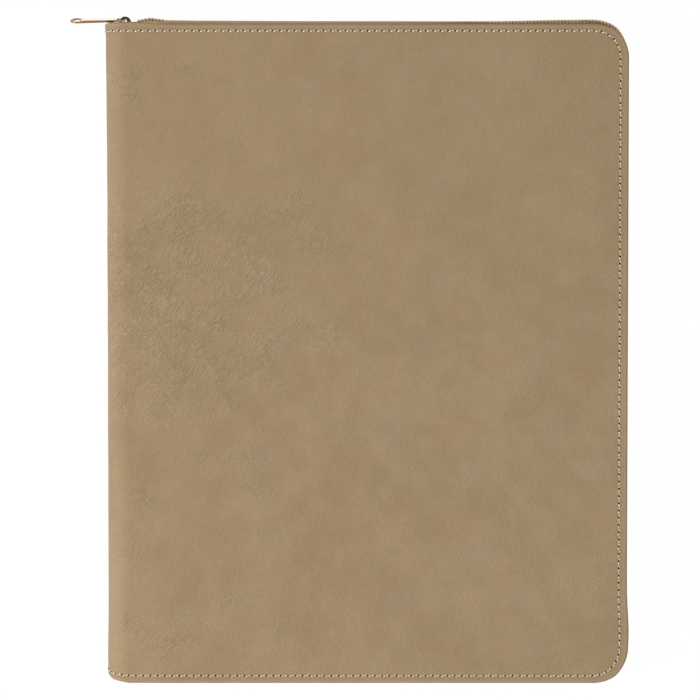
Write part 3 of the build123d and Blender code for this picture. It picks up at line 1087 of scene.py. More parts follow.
@dataclass
class WrapSheet:
    """A sheet that runs from the middle of the spine, round a fold and over a cover.

    It is laid out flat first, with u from the spine to the fore edge and y up the cover.
    """

    case: Case
    inset: float
    reach: float
    rise: float
    face: float

    def __post_init__(self) -> None:
        """Measure the fold, so that flat distances can be rolled up."""
        self.turns = np.linspace(0, math.pi / 2, 181)
        curve = np.stack([self.reach * np.sin(self.turns), self.rise * np.cos(self.turns)], 1)
        steps = np.linalg.norm(np.diff(curve, axis=0), axis=1)
        self.lengths = np.concatenate([[0.0], np.cumsum(steps)])
        fold_low = self.face - self.rise
        self.spine_line = self.case.flat_left - self.lengths[-1] - (fold_low - self.case.middle)
        self.right = self.case.half_width - self.inset
        self.high = self.case.half_height - self.inset
        radius = self.case.corner - self.inset
        self.route = Route([(self.spine_line, -self.high, 0), (self.right, -self.high, radius),
                            (self.right, self.high, radius), (self.spine_line, self.high, 0)])

    def rolled(self, flat: Array, lift: Array) -> tuple[Array, Array]:
        """Roll flat points up round the fold.

        Args:
            flat: Points on the flat sheet.
            lift: Height of each above the outer face.

        Returns:
            The points in space on the front cover, and unit vectors out of the sheet there.
        """
        past = self.case.flat_left - flat[:, 0]
        turn = np.interp(past, self.lengths, self.turns)
        sine, cosine = np.sin(turn), np.cos(turn)
        out = np.stack([-self.rise * sine, np.zeros(len(flat)), self.reach * cosine], 1)
        out /= np.linalg.norm(out, axis=1)[:, None]
        down = np.clip(past - self.lengths[-1], 0, None)
        x = self.case.flat_left + np.clip(-past, 0, None) - self.reach * sine
        z = self.face - self.rise + self.rise * cosine - down
        return np.stack([x, flat[:, 1], z], 1) + out * np.asarray(lift)[:, None], out

    def turned(self, flat: Array) -> Array:
        """How far round the fold flat points are, from 0 on the cover to 1 on the spine."""
        return np.sin(np.interp(self.case.flat_left - flat[:, 0], self.lengths, self.turns))

    @property
    def flat_size(self) -> tuple[float, float]:
        """Width and length of the sheet laid out flat, in metres."""
        return (self.right - self.spine_line) * MM, 2 * self.high * MM


@dataclass
class SheetSkin:
    """Points and faces of a wrapped sheet while it is put together."""

    parts: list[tuple[Array, Array, Array, Array]] = field(default_factory=list)
    faces: list[tuple[int, ...]] = field(default_factory=list)
    count: int = 0

    def add(self, points: Array, flat: Array, inset: Array, pucker: Array) -> int:
        """Add points and return the number of the first."""
        self.parts.append((points, flat, inset, pucker))
        self.count += len(points)
        return self.count - len(points)


@dataclass
class CoverSheet:
    """A sheet of one cover with a rolled edge on its three free sides."""

    wrap: WrapSheet
    side: Side
    step: float = 0.84
    fine: float = 2.2
    coarse: float = 9.0

    def rings(self) -> list[tuple[float, float, bool]]:
        """Inset, lift and whether it is on the outer face, for each ring from the inner face outwards."""
        raise NotImplementedError

    def relief(self, flat: Array, inset: Array, along: Array) -> Array:
        """Height of the outer face over the plain sheet."""
        return np.zeros(len(flat))

    def under(self, flat: Array, lift: float) -> Array:
        """Height of the inner face, from its plain height."""
        return np.full(len(flat), lift)

    def shift(self, flat: Array) -> Array:
        """How far the sheet has settled along its own face."""
        return np.zeros((len(flat), 2))

    def pucker(self, inset: Array, along: Array) -> Array:
        """How far the face is drawn into a needle hole, from 0 to 1."""
        return np.zeros(len(inset))

    def seam(self, stations: Array) -> Array:
        """Distances along the seam at stations of the free edge."""
        return stations

    def flat_at(self, stations: Array, inset: float) -> Array:
        """Flat points at stations of the free edge, drawn in from it."""
        points, directions = self.wrap.route.at(stations)
        return points + left_of(directions) * inset

    def _fill(self, skin: SheetSkin, ring: int, flat: Array, spacing: float, outer: bool,
              lift: float) -> list[int]:
        """Close one face inside its innermost ring.

        Args:
            skin: The sheet so far.
            ring: Number of the ring's first point.
            flat: The ring's flat points.
            spacing: Distance between the points of the fill.
            outer: Whether this is the outer face.
            lift: Plain height of the face.

        Returns:
            The points down the spine line, from the high end to the low one.
        """
        low, high = flat[0], flat[-1]
        steps = round((high[1] - low[1]) / spacing)
        side_y = high[1] + (low[1] - high[1]) * np.arange(1, steps) / steps
        side_flat = np.stack([np.full(len(side_y), self.wrap.spine_line), side_y], 1)
        inner, faces = fill_flat(np.concatenate([flat, side_flat]), spacing)
        extra = np.concatenate([side_flat, inner])
        nothing = np.zeros(len(extra))
        inset = np.minimum(self.wrap.right - extra[:, 0], self.wrap.high - np.abs(extra[:, 1]))
        height = self.relief(extra, inset, nothing) + lift if outer else self.under(extra, lift)
        placed, _ = self.wrap.rolled(extra + self.shift(extra), height)
        start = skin.add(placed, extra, inset, nothing)
        skin.faces.extend(renumbered(faces, ring, len(flat), start))
        return [start + index for index in range(len(side_flat))]

    def build(self, name: str, finish: Material) -> Piece:
        """Make the sheet as one closed piece.

        Args:
            name: The piece's name.
            finish: Its material.

        Returns:
            The new object.
        """
        stations = self.wrap.route.stations(self.step)
        count = len(stations)
        along = self.seam(stations)
        skin = SheetSkin()
        starts, flats = [], []
        profile = self.rings()
        for inset, lift, outer in profile:
            flat = self.flat_at(stations, inset)
            insets = np.full(count, inset)
            height = self.relief(flat, insets, along) + lift if outer else self.under(flat, lift)
            points, _ = self.wrap.rolled(flat + self.shift(flat), height)
            drawn = self.pucker(insets, along) if outer else np.zeros(count)
            starts.append(skin.add(points, flat, insets, drawn))
            flats.append(flat)
        skin.faces.extend(strips(starts, count, False))
        outer_side = self._fill(skin, starts[-1], flats[-1], self.fine, True, profile[-1][1])
        inner_side = self._fill(skin, starts[0], flats[0], self.coarse, False, profile[0][1])
        far_ends = [start + count - 1 for start in reversed(starts)]
        skin.faces.append(tuple(starts + outer_side[::-1] + far_ends + inner_side))
        points, flat, inset, drawn = (np.concatenate(parts) for parts in zip(*skin.parts))
        if self.side is Side.BACK:
            flat = flat * (-1, 1) + (2 * self.wrap.spine_line, 0)
        points = self.wrap.case.placed(points, self.side)
        return make_piece(name, points, skin.faces, finish, flat, {EDGE: inset, PUCKER: drawn})


@dataclass
class LeatherCover(CoverSheet):
    """The outer leather of one cover, sewn round its three free edges."""

    thickness: float = 1.2
    hem: float = 2.4
    hem_width: float = 10.0
    roll: float = 0.9
    seam_inset: float = 3.8
    pitch: float = 3.36
    stitch_length: float = 2.65
    stitch_height: float = 0.24
    thread_radius: float = 0.255
    stitch_slant: float = 8.0
    hole_length: float = 0.95
    hole_width: float = 0.85
    hole_depth: float = 0.42
    hole_shift: Triple = (-0.1, 0.12, 0.0)
    groove: float = 0.1
    dimple: float = 0.2
    crown: float = 0.2
    shoulder: float = 0.4
    swell: float = 0.2
    end_curl: float = 1.6
    end_round: float = 2.0
    end_bulge: float = 0.5
    end_lip: float = 0.5
    lip_round: float = 0.6
    low_stretch: float = 1.8
    top_tuck: float = 0.75
    tuck_from: float = -112.0
    tuck_to: float = -85.0
    top_lip: float = 0.35
    top_lip_place: float = -110.0
    low_seam: float = 0.4
    corner_fill: float = 0.55
    corner_bow: float = 0.85

    def rings(self) -> list[tuple[float, float, bool]]:
        """The turned hem, the rolled edge and the band that is sewn."""
        hem = [(self.hem_width + 0.4, -self.thickness, False), (self.hem_width, -self.hem, False),
               (self.hem_width / 2, -self.hem, False), (self.roll, -self.hem, False),
               (0.27, 0.26 - self.hem, False), (0.0, self.roll - self.hem, False)]
        turns = [math.radians(angle) for angle in (0, 22.5, 45, 67.5, 90)]
        edge = [(self.roll * (1 - math.cos(turn)), self.roll * (math.sin(turn) - 1), True) for turn in turns]
        band = [(inset, 0.0, True) for inset in (1.5, 2.1, 2.7, 3.1, 3.45, 3.8, 4.15, 4.5, 4.9, 5.6, 6.8)]
        return hem + edge + band

    def seam(self, stations: Array) -> Array:
        """Distances along the stitching at stations of the free edge."""
        flat = self.flat_at(stations, self.seam_inset)
        steps = np.linalg.norm(np.diff(flat, axis=0), axis=1)
        return np.concatenate([[0.0], np.cumsum(steps)])

    def stitch_count(self, along: Array) -> int:
        """Whole stitches in the seam."""
        return round(along[-1] / self.pitch)

    def pucker(self, inset: Array, along: Array) -> Array:
        """Needle holes lie at whole stitches along the seam."""
        turn = 2 * math.pi * along * self.stitch_count(along) / along[-1]
        return bell(inset, self.seam_inset, 0.5) * (0.5 + 0.5 * np.cos(turn)) ** 2

    def relief(self, flat: Array, inset: Array, along: Array) -> Array:
        """The padded crown, the sewn groove, its needle holes and slow waves."""
        height = self.crown * smooth_step(inset, 4.4, 16.0) - self.groove * bell(inset, self.seam_inset, 0.9)
        flat_left = self.wrap.case.flat_left
        height = height + self.shoulder * smooth_step(flat[:, 0], flat_left - 4, flat_left + 22)
        if along[-1] > 0:
            height = height - self.dimple * self.pucker(inset, along)
        waves = field_noise(flat, 46.0, 3.5) + 0.45 * field_noise(flat, 17.0, 8.5)
        ends = bell(np.abs(flat[:, 1]), self.wrap.high, 24.0) * self.wrap.turned(flat)
        lip = self.end_lip * bell(flat[:, 1], self.wrap.high, 4.5) * self.wrap.turned(flat)
        return height + self.swell * waves * smooth_step(inset, 0.0, 12.0) + self.end_bulge * ends + lip

    def under(self, flat: Array, lift: float) -> Array:
        """The hem is turned in on the cover only, not in the fold."""
        share = smooth_step(flat[:, 0], self.wrap.case.flat_left, self.wrap.case.flat_left + 4)
        return np.maximum(lift, -self.thickness - (self.hem - self.thickness) * share)

    def shift(self, flat: Array) -> Array:
        """How the sewn leather lies out of square: long at its low edge, tucked in at its high one."""
        x, y = flat[:, 0], flat[:, 1]
        down = (self.wrap.high - y) / (2 * self.wrap.high)
        turned = self.wrap.turned(flat)
        curl = (self.end_curl * turned + self.end_round * turned**10) * bell(y, -self.wrap.high, 5.5)
        curl = curl - self.lip_round * turned**10 * bell(y, self.wrap.high, 5.5)
        tuck = self.top_tuck * smooth_step(x, self.tuck_from, self.tuck_to)
        tuck = tuck - self.top_lip * bell(x, self.top_lip_place, 11.0)
        tuck = tuck * smooth_step(self.wrap.high - y, 3.6, 0.3)
        lean = self.low_stretch * down + tuck + self.low_seam * bell(y, self.seam_inset - self.wrap.high, 2.5)
        corner = np.hypot(x - self.wrap.right, y + self.wrap.high)
        fill = self.corner_fill * bell(corner, 0.0, 14.0)
        bow = self.corner_bow * bell(y, 24 - self.wrap.high, 12.0) * bell(x, self.wrap.right, 5.0)
        return np.stack([bow + 0.8 * fill, curl - lean - 0.3 * fill], 1)

    def seam_path(self, margin: float, lift: float) -> tuple[Array, Array]:
        """The stitching's line on the leather.

        Args:
            margin: Distance left free at both ends, in stitches.
            lift: Height over the leather's plain face.

        Returns:
            Points along the seam, and unit vectors out of the leather there.
        """
        stations = self.wrap.route.stations(self.step)
        along = self.seam(stations)
        gap = margin * along[-1] / self.stitch_count(along)
        places = np.arange(gap, along[-1] - gap + 1e-6, self.step)
        places = np.append(places, along[-1] - gap)
        flat = self.flat_at(np.interp(places, along, stations), self.seam_inset)
        insets = np.full(len(flat), self.seam_inset)
        height = self.relief(flat, insets, np.zeros(len(flat)))
        points, out = self.wrap.rolled(flat + self.shift(flat), height + lift)
        flip = (1, 1, 1) if self.side is Side.FRONT else (1, 1, -1)
        return self.wrap.case.placed(points, self.side), out * flip

    def dress(self, bench: Bench) -> None:
        """Build the leather, its stitches and its needle holes, and hide the imported solids that they stand
        in for.
        """
        case = self.wrap.case
        name = self.side.value
        leather = self.build(f"{name}_cover_leather", bench.leather)
        stations = self.wrap.route.stations(self.step)
        count = self.stitch_count(self.seam(stations))
        slant = self.stitch_slant if self.side is Side.FRONT else -self.stitch_slant
        path, ups = self.seam_path(0.5, 0.02)
        stitches = bench.rows[CopyShape.STITCH].build(
            f"{name}_cover_stitches", path, ups, bench.thread, count=count,
            length=self.stitch_length, height=self.stitch_height, wire=self.thread_radius, slant=slant,
            wander=3.0)
        # Dark bowls sunk in the needle holes and shifted up and to the left of the stitches, as painted
        # shade.
        path, ups = self.seam_path(1.0, -0.06)
        path = path + np.array(self.hole_shift)
        holes = bench.rows[CopyShape.HOLE].build(
            f"{name}_cover_needle_holes", path, ups, bench.needle_hole_shade, count=count - 1,
            length=self.hole_length, width=self.hole_width, height=self.hole_depth, wander=9.0)
        for piece in (leather, stitches, holes):
            case.bend(piece, self.side)
        spine = ["spine_leather"] if self.side is Side.FRONT else []
        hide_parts(f"{name}_leather", f"{name}_foam", *spine)
        self.wrap.flat_size


@dataclass
class LiningCover(CoverSheet):
    """The lining of one cover, which runs on round the inside of the fold to the spine."""

    thickness: float = 0.5
    slack: float = 0.1
    step: float = 2.4
    fine: float = 6.0
    coarse: float = 5.0

    def rings(self) -> list[tuple[float, float, bool]]:
        """A thin turned edge."""
        inner = [(2.0, -self.thickness, False), (0.3, -self.thickness, False), (0.0, -0.35, False)]
        return inner + [(0.0, -0.15, True), (0.3, 0.0, True), (2.0, 0.0, True)]

    def under(self, flat: Array, lift: float) -> Array:
        """The lining's free face is a little slack."""
        depth = np.minimum(self.wrap.right - flat[:, 0], self.wrap.high - np.abs(flat[:, 1]))
        waves = 0.5 + 0.5 * field_noise(flat, 31.0, 12.5)
        return lift + self.slack * waves * smooth_step(depth, 1.0, 9.0)

    def dress(self, bench: Bench) -> None:
        """Build the lining and hide the imported lining that it stands in for."""
        name = self.side.value
        lining = self.build(f"{name}_cover_lining", bench.lining)
        self.wrap.case.bend(lining, self.side)
        spine = ["spine_lining"] if self.side is Side.FRONT else []
        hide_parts(f"{name}_lining", *spine)
        self.wrap.flat_size


def sweep(name: str, line: Array, section: Callable[[int], Array], finish: Material, flat: Array) -> Piece:
    """Make a closed strip from sections along a line.

    Args:
        name: The piece's name.
        line: Distances of the sections along the line.
        section: Points in space of one section, in order round it, from its number.
        finish: Its material.
        flat: Distance of each of a section's points round it, for the flat coordinates.

    Returns:
        The new object.
    """
    sections = [section(index) for index in range(len(line))]
    count = len(sections[0])
    starts = [index * count for index in range(len(line))]
    faces = strips(starts, count, True)
    faces.append(tuple(range(count)))
    faces.append(tuple(starts[-1] + index for index in range(count)))
    places = np.concatenate([np.stack([np.full(count, along), flat], 1) for along in line])
    return make_piece(name, np.concatenate(sections), faces, finish, places)


@dataclass
class Zip:
    """The zip: two woven tapes, two rows of teeth, and the metal slider, pull and stops."""

    case: Case
    closed_x: float = -117.75
    sink: float = 2.4
    lift: float = 0.5
    side_sink: float = 1.0
    corner: float = 14.2
    tape: float = 0.6
    tape_gap: float = 2.8
    tape_bend: float = 1.5
    flange: float = 7.6
    flange_top: float = 19.6
    tail_height: float = 16.2
    teeth_centre: float = 0.28
    tape_back: float = 0.18
    free_from: float = 99.5
    free_back: float = 0.4
    ride_low: float = 15.2
    ride_high: float = 18.2
    shade_reach: float = 72.0
    shade_low: float = 14.6
    shade_high: float = 16.4
    tooth_pitch: float = 1.6
    tooth_rise: float = 1.15
    tooth_width: float = 1.9
    tooth_height: float = 2.0
    tooth_radius: float = 0.3
    tooth_slant: float = 13.0
    tooth_lean: float = -40.0
    core_radius: float = 0.85
    core_back: float = 0.1
    teeth_start: float = 10.4
    teeth_end: float = 3.1
    tail_sink: float = 0.8
    pull_roll: float = 12.0
    neck_end: float = -114.8
    tip_from: float = -131.4
    tip_to: float = -134.0
    tip_thin: float = 0.55
    tip_turn: float = 9.0
    tip_drop: float = 0.3
    blade: float = 0.25
    strap_heel: float = 0.5
    strap_far: float = 0.75
    strap_near: float = 1.2
    strap_edge: float = 0.22
    ride: tuple[Triple, ...] = (
        (-110.0, 0.0, 0.0), (-107.4, 0.4, 0.25), (-106.8, 1.8, 0.5), (-106.2, 2.3, 0.9), (-104.4, 2.7, 1.5),
        (-100.7, 3.3, 2.0), (-96.1, 2.7, 2.4), (-91.5, 1.87, 3.35), (-77.6, 1.3, 3.0), (-31.3, 0.4, 2.2),
        (15.1, 0.0, 1.6), (48.0, -0.1, 1.05), (62.0, -0.2, -0.1), (88.0, 0.0, -0.6), (99.0, 0.0, -0.8),
        (103.0, 0.0, -1.0), (110.0, -0.25, -1.1), (114.6, 0.1, -1.1), (118.0, -0.3, -1.1))

    def __post_init__(self) -> None:
        """Lay out the line that the tapes' outer faces follow."""
        right = self.case.half_width - self.side_sink
        low = self.side_sink - self.case.half_height
        self.route = Route([(self.closed_x, self.case.half_height - self.sink, 0),
                            (right, self.case.half_height + self.lift, self.corner),
                            (right, low, self.corner), (self.closed_x, low, 0)])

    def rides(self, points: Array) -> tuple[Array, Array]:
        """How far the zip rides out of its plain line.

        Args:
            points: Points of the line.

        Returns:
            The teeth's ride and the tape's, which hides the teeth along part of the top edge.
        """
        x, y = points.T
        places, teeth, tape = np.array(self.ride).T
        top = smooth_step(y, self.case.half_height - 30, self.case.half_height - 14)
        tail = self.tail_sink * smooth_step(x, -95.0, -112.0) * (1 - top)
        return top * np.interp(x, places, teeth) - tail, top * np.interp(x, places, tape) - tail

    def _tape_profile(self) -> Array:
        """The front tape's section: outward distance and height, in order round it."""
        low = self.case.middle + self.tape_gap / 2
        outer_bend = self.tape_bend + self.tape
        turns = np.radians([0, 22.5, 45, 67.5, 90])
        centre = np.array([-outer_bend, self.flange_top - outer_bend])
        outer_arc = centre + outer_bend * np.stack([np.cos(turns), np.sin(turns)], 1)
        inner_arc = centre + self.tape_bend * np.stack([np.cos(turns[::-1]), np.sin(turns[::-1])], 1)
        wall = np.linspace(low, self.flange_top - outer_bend, 6)[:-1]
        outer_wall = np.stack([np.zeros(5), wall], 1)
        inner_wall = np.stack([np.full(5, -self.tape), wall[::-1]], 1)
        ends = [(-self.flange, self.flange_top), (-self.flange, self.flange_top - self.tape)]
        return np.concatenate([outer_wall, outer_arc, ends, inner_arc, inner_wall])

    def tape_piece(self, side: Side, bench: Bench) -> None:
        """Build one woven tape along the whole zip."""
        profile = self._tape_profile()
        steps = np.linalg.norm(np.diff(profile, axis=0), axis=1)
        around = np.concatenate([[0.0], np.cumsum(steps)])
        stations = self.route.stations(1.2)
        points, directions = self.route.at(stations)
        out = left_of(directions)
        teeth_ride, tape_ride = self.rides(points)
        back = self.tape_back + self.free_back * smooth_step(points[:, 0], self.free_from, self.free_from + 3)
        low_ride = np.maximum(np.minimum(teeth_ride, tape_ride), teeth_ride - back)
        low = self.case.middle + self.tape_gap / 2
        on_cover = smooth_step(points[:, 0], self.case.flat_left - 1.2, self.case.flat_left + 1.5)
        squeeze = (self.tail_height - low) / (self.flange_top - low)

        def section(index: int) -> Array:
            """The tape at one station, cut down to its tail beside the spine."""
            reach, height = profile[:, 0], profile[:, 1]
            tail_reach = np.where(reach < -self.tape, -self.tape + (reach + self.tape) * 0.03, reach)
            tail = low + (height - low) * squeeze
            share = on_cover[index]
            reach = reach * share + tail_reach * (1 - share)
            height = height * share + tail * (1 - share)
            rise = smooth_step(height, self.ride_low, self.ride_high)
            ride = low_ride[index] + (tape_ride[index] - low_ride[index]) * rise
            reach = reach + ride * smooth_step(reach, -self.flange, -self.tape_bend - self.tape)
            flat = points[index] + out[index] * reach[:, None]
            return self.case.placed(np.column_stack([flat, height]), side)

        piece = sweep(f"{side.value}_zip_tape", stations, section, bench.tape, around)
        # Painted shade: the tape darkens where it dives under the leather's edge.
        edge_mark_darkening = smooth_step(profile[:, 1], self.shade_low, self.shade_high)
        set_mark(piece.data, EDGE, np.outer(smooth_step(points[:, 0], 0.0, self.shade_reach), edge_mark_darkening))
        fix(piece, side.body, "zip_tape", f"{side.value}_zipper_tape")
        outer_bend = self.tape_bend + self.tape
        straight = self.flange_top - low - outer_bend + self.flange - outer_bend
        width = straight + (self.tape_bend + self.tape / 2) * math.pi / 2
        width * MM

    def teeth_piece(self, side: Side, bench: Bench) -> None:
        """Build one row of coiled teeth; the two rows are half a pitch apart."""
        first = self.teeth_start + (self.tooth_pitch / 2 if side is Side.BACK else 0.0)
        places = np.arange(first, self.route.length - self.teeth_end, 0.8)
        points, directions = self.route.at(places)
        out = left_of(directions)
        flat = points + out * (self.teeth_centre + self.rides(points)[0])[:, None]
        level = np.full(len(flat), self.case.middle + self.tooth_rise)
        path = self.case.placed(np.column_stack([flat, level]), side)
        ups = np.column_stack([out, np.zeros(len(out))])
        count = int((places[-1] - places[0]) / self.tooth_pitch) + 1
        turn = 1 if side is Side.FRONT else -1
        teeth = bench.rows[CopyShape.TOOTH].build(
            f"{side.value}_zip_teeth", path, ups, bench.nylon, count=count, width=self.tooth_width,
            height=self.tooth_height, wire=self.tooth_radius, slant=turn * self.tooth_slant,
            lean=turn * self.tooth_lean, wander=2.0)
        turns = np.linspace(0, 2 * math.pi, 12, endpoint=False)
        outwards = self.core_radius * np.cos(turns) - self.core_back
        upwards = np.column_stack([np.zeros((12, 2)), self.core_radius * np.sin(turns)])

        def section(index: int) -> Array:
            """The core at one station."""
            return path[index] + outwards[:, None] * ups[index] + upwards

        core = sweep(f"{side.value}_zip_core", places, section, bench.nylon_core, turns * self.core_radius)
        fix(teeth, side.body, "zip_coil", f"{side.value}_zipper_coil")
        fix(core, side.body, "zip_coil")

    def dress(self, bench: Bench) -> None:
        """Build the tapes and teeth, and plate the slider, the pull and the stops."""
        for side in Side:
            self.tape_piece(side, bench)
            self.teeth_piece(side, bench)
        self.strap_piece(bench)
        self.pull_piece(bench)
        # The slider body takes the darker gold as painted shade.
        bench.finish_node("slider_body", bench.slider_gold)
        for side in Side:
            bench.finish_node(f"{side.value}_zipper_stops", bench.dark_gold)

    def pull_piece(self, bench: Bench) -> None:
        """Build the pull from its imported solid, with its tip beaten thin and turned a little."""
        low, high = box_mm("pull_tab")
        middle = (low + high) / 2
        work = bmesh.new()
        work.from_mesh(bench.nodes["pull_tab"].data)
        bmesh.ops.remove_doubles(work, verts=work.verts, dist=1e-7)
        for place in np.linspace(self.tip_from, self.tip_to, 4):
            bmesh.ops.bisect_plane(work, geom=work.verts[:] + work.edges[:] + work.faces[:], dist=1e-7,
                                   plane_co=(place * MM, 0, 0), plane_no=(1, 0, 0))
        work.verts.index_update()
        points = np.array([vertex.co for vertex in work.verts]) / MM
        faces = [[vertex.index for vertex in face.verts] for face in work.faces]
        normals = np.array([face.normal for face in work.faces])
        centres = np.array([face.calc_center_median().x for face in work.faces]) / MM
        work.free()

        def axes(roll: Array) -> tuple[Array, Array]:
            """Unit vectors out of the broad face and across it, at a roll in degrees."""
            cosine, sine, nothing = np.cos(np.radians(roll)), np.sin(np.radians(roll)), np.zeros_like(roll)
            return np.stack([nothing, cosine, sine], -1), np.stack([nothing, -sine, cosine], -1)

        broad, across = axes(np.array(self.pull_roll))
        offset = points - np.array(middle)
        depth, reach = offset @ broad, offset @ across
        share = smooth_step(points[:, 0], self.tip_from, self.tip_to)
        top = depth.max()
        thick = self.blade * smooth_step(points[:, 0], self.neck_end - 3, self.neck_end - 5)
        depth = top - (top - depth) * (1 + thick - self.tip_thin * share)
        turned = axes(self.pull_roll + self.tip_turn * share)
        moved = np.array(middle) + depth[:, None] * turned[0] + reach[:, None] * turned[1]
        moved[:, 0] = points[:, 0]
        moved[:, 1] -= self.tip_drop * share
        piece = make_piece("zip_pull_tab", moved, faces, bench.gold)
        # Painted reflection and shade: the narrow faces before the neck, and the tip, take the dark edge
        # colour.
        narrow = (np.abs(normals @ broad) < 0.9) & (centres < self.neck_end)
        marks = np.maximum(narrow, 0.7 * smooth_step(centres, self.tip_from, self.tip_to))
        set_mark(piece.data, EDGE, marks, "FACE")
        piece.data.set_sharp_from_angle(angle=math.radians(30))
        fix(piece, "zip_pull", "gold_metal", "pull_tab")

    def strap_piece(self, bench: Bench) -> None:
        """Build the arched strap that holds the pull on the slider."""
        low, high = box_mm("slider_bridge")
        half, height = (high.x - low.x) / 2, high.y - low.y
        radius = (half**2 + height**2) / (2 * height)
        centre = np.array([(low.x + high.x) / 2, high.y - radius])
        spread = math.acos((radius - height) / radius)
        turns = np.linspace(-spread, spread, 25)
        heel = 1 + self.strap_heel * smooth_step(turns, 0.0, spread)
        width = high.z - low.z
        far, near, edge = self.strap_far, self.strap_near, self.strap_edge
        profile = np.array([(0, edge), (edge, 0), (far - edge, 0), (far, edge), (near, width - edge),
                            (near - edge, width), (edge, width), (0, width - edge)])

        def section(index: int) -> Array:
            """The strap at one turn of its arch."""
            reach = radius - profile[:, 0] * heel[index]
            x = centre[0] + reach * math.sin(turns[index])
            y = centre[1] + reach * math.cos(turns[index])
            return np.column_stack([x, y, low.z + profile[:, 1]])

        # The strap's dark gold is painted reflection.
        piece = sweep("slider_strap", turns * radius, section, bench.dark_gold, profile[:, 1])
        fix(piece, "zip_slider", "gold_metal", "slider_bridge")


@dataclass
class SoftPanel:
    """A flat sewn panel with a rolled edge, such as a pocket.

    Its outline is the plan's corners, in order and counter-clockwise, each with its radius.
    """

    name: str
    node: str
    body: str
    corners: list[Triple]
    low: float
    high: float
    drape: Callable[[Array, Array], Array]
    roll: float = 0.25
    lap: float = 1.2
    step: float = 1.6
    spacing: float = 5.0
    pitch: float = 3.0
    stitch_share: float = 0.8
    stitch_height: float = 0.2
    stitch_inset: float = 2.0
    stitch_lift: float = 0.02
    thread_radius: float = 0.24

    def __post_init__(self) -> None:
        """Lay out the outline."""
        self.route = Route(self.corners, closed=True)

    def build(self, finish: Material, rests_on: Sequence[str]) -> None:
        """Make the panel and fix it to its body.

        Args:
            finish: The panel's material.
            rests_on: What it is sewn to; not used.
        """
        stations = self.route.stations(self.step)
        rim, directions = self.route.at(stations)
        inward = left_of(directions)
        roll = min(self.roll, (self.high - self.low) / 2)
        turn = [(self.lap, 0.0), (roll, 0.0), (roll * 0.3, roll * 0.3), (0.0, roll)]
        profile = [(inset, self.low + rise) for inset, rise in turn]
        profile += [(inset, self.high - rise) for inset, rise in reversed(turn)]
        flats, points, starts = [], [], []
        for inset, height in profile:
            flat = rim + inward * inset
            starts.append(len(flats) * len(rim))
            flats.append(flat)
            points.append(np.column_stack([flat, height + self.drape(flat, np.full(len(flat), inset))]))
        faces = strips(starts, len(rim), True)
        count = len(flats) * len(rim)
        for ring, height in ((0, self.low), (len(profile) - 1, self.high)):
            inner, found = fill_flat(flats[ring], self.spacing)
            faces.extend(renumbered(found, starts[ring], len(rim), count))
            points.append(np.column_stack([inner, height + self.drape(inner, to_rim(inner, rim))]))
            flats.append(inner)
            count += len(inner)
        piece = make_piece(self.name, np.concatenate(points), faces, finish, np.concatenate(flats))
        fix(piece, self.body, "pocket_leather", self.node)
        size = rim.max(0) - rim.min(0)
        ahead = np.roll(rim, -1, axis=0)
        area = abs(float((rim[:, 0] * ahead[:, 1] - rim[:, 1] * ahead[:, 0]).sum() / 2))
        size[0] * MM
        size[1] * MM
        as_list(rests_on)

    def sew(self, name: str, line: Sequence[Triple], up: float, bench: Bench) -> None:
        """Sew a row of stitches on the panel's free face.

        Args:
            name: The row's name.
            line: Corners of the row, each with its radius.
            up: 1 where the free face looks up, -1 where it looks down.
            bench: The finishes and the row trees.
        """
        route = Route(line)
        flat, _ = route.at(route.stations(1.0))
        draped = self.drape(flat, np.full(len(flat), self.stitch_inset))
        heights = (self.high if up > 0 else self.low) + draped + self.stitch_lift * up
        path = np.column_stack([flat, heights])
        ups = np.tile((0.0, 0.0, up), (len(path), 1))
        piece = bench.rows[CopyShape.STITCH].build(
            name, path, ups, bench.thread, count=round(route.length / self.pitch),
            length=self.pitch * self.stitch_share, height=self.stitch_height, wire=self.thread_radius,
            slant=9.0, wander=3.0)
        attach(piece, self.body)


def u_seam(low: Vector, high: Vector, inset: float, top: float) -> list[Triple]:
    """A row down one side of a panel, along its bottom and up the other side.

    Args:
        low: Low corner of the panel's box.
        high: High corner of the box.
        inset: Distance of the row from the panel's edge.
        top: Distance of the row's ends from the mouth.

    Returns:
        The row's corners, each with its radius.
    """
    left, right, bottom, end = low.x + inset, high.x - inset, low.y + inset, high.y - top
    return [(left, end, 0), (left, bottom, 2.0), (right, bottom, 2.0), (right, end, 0)]


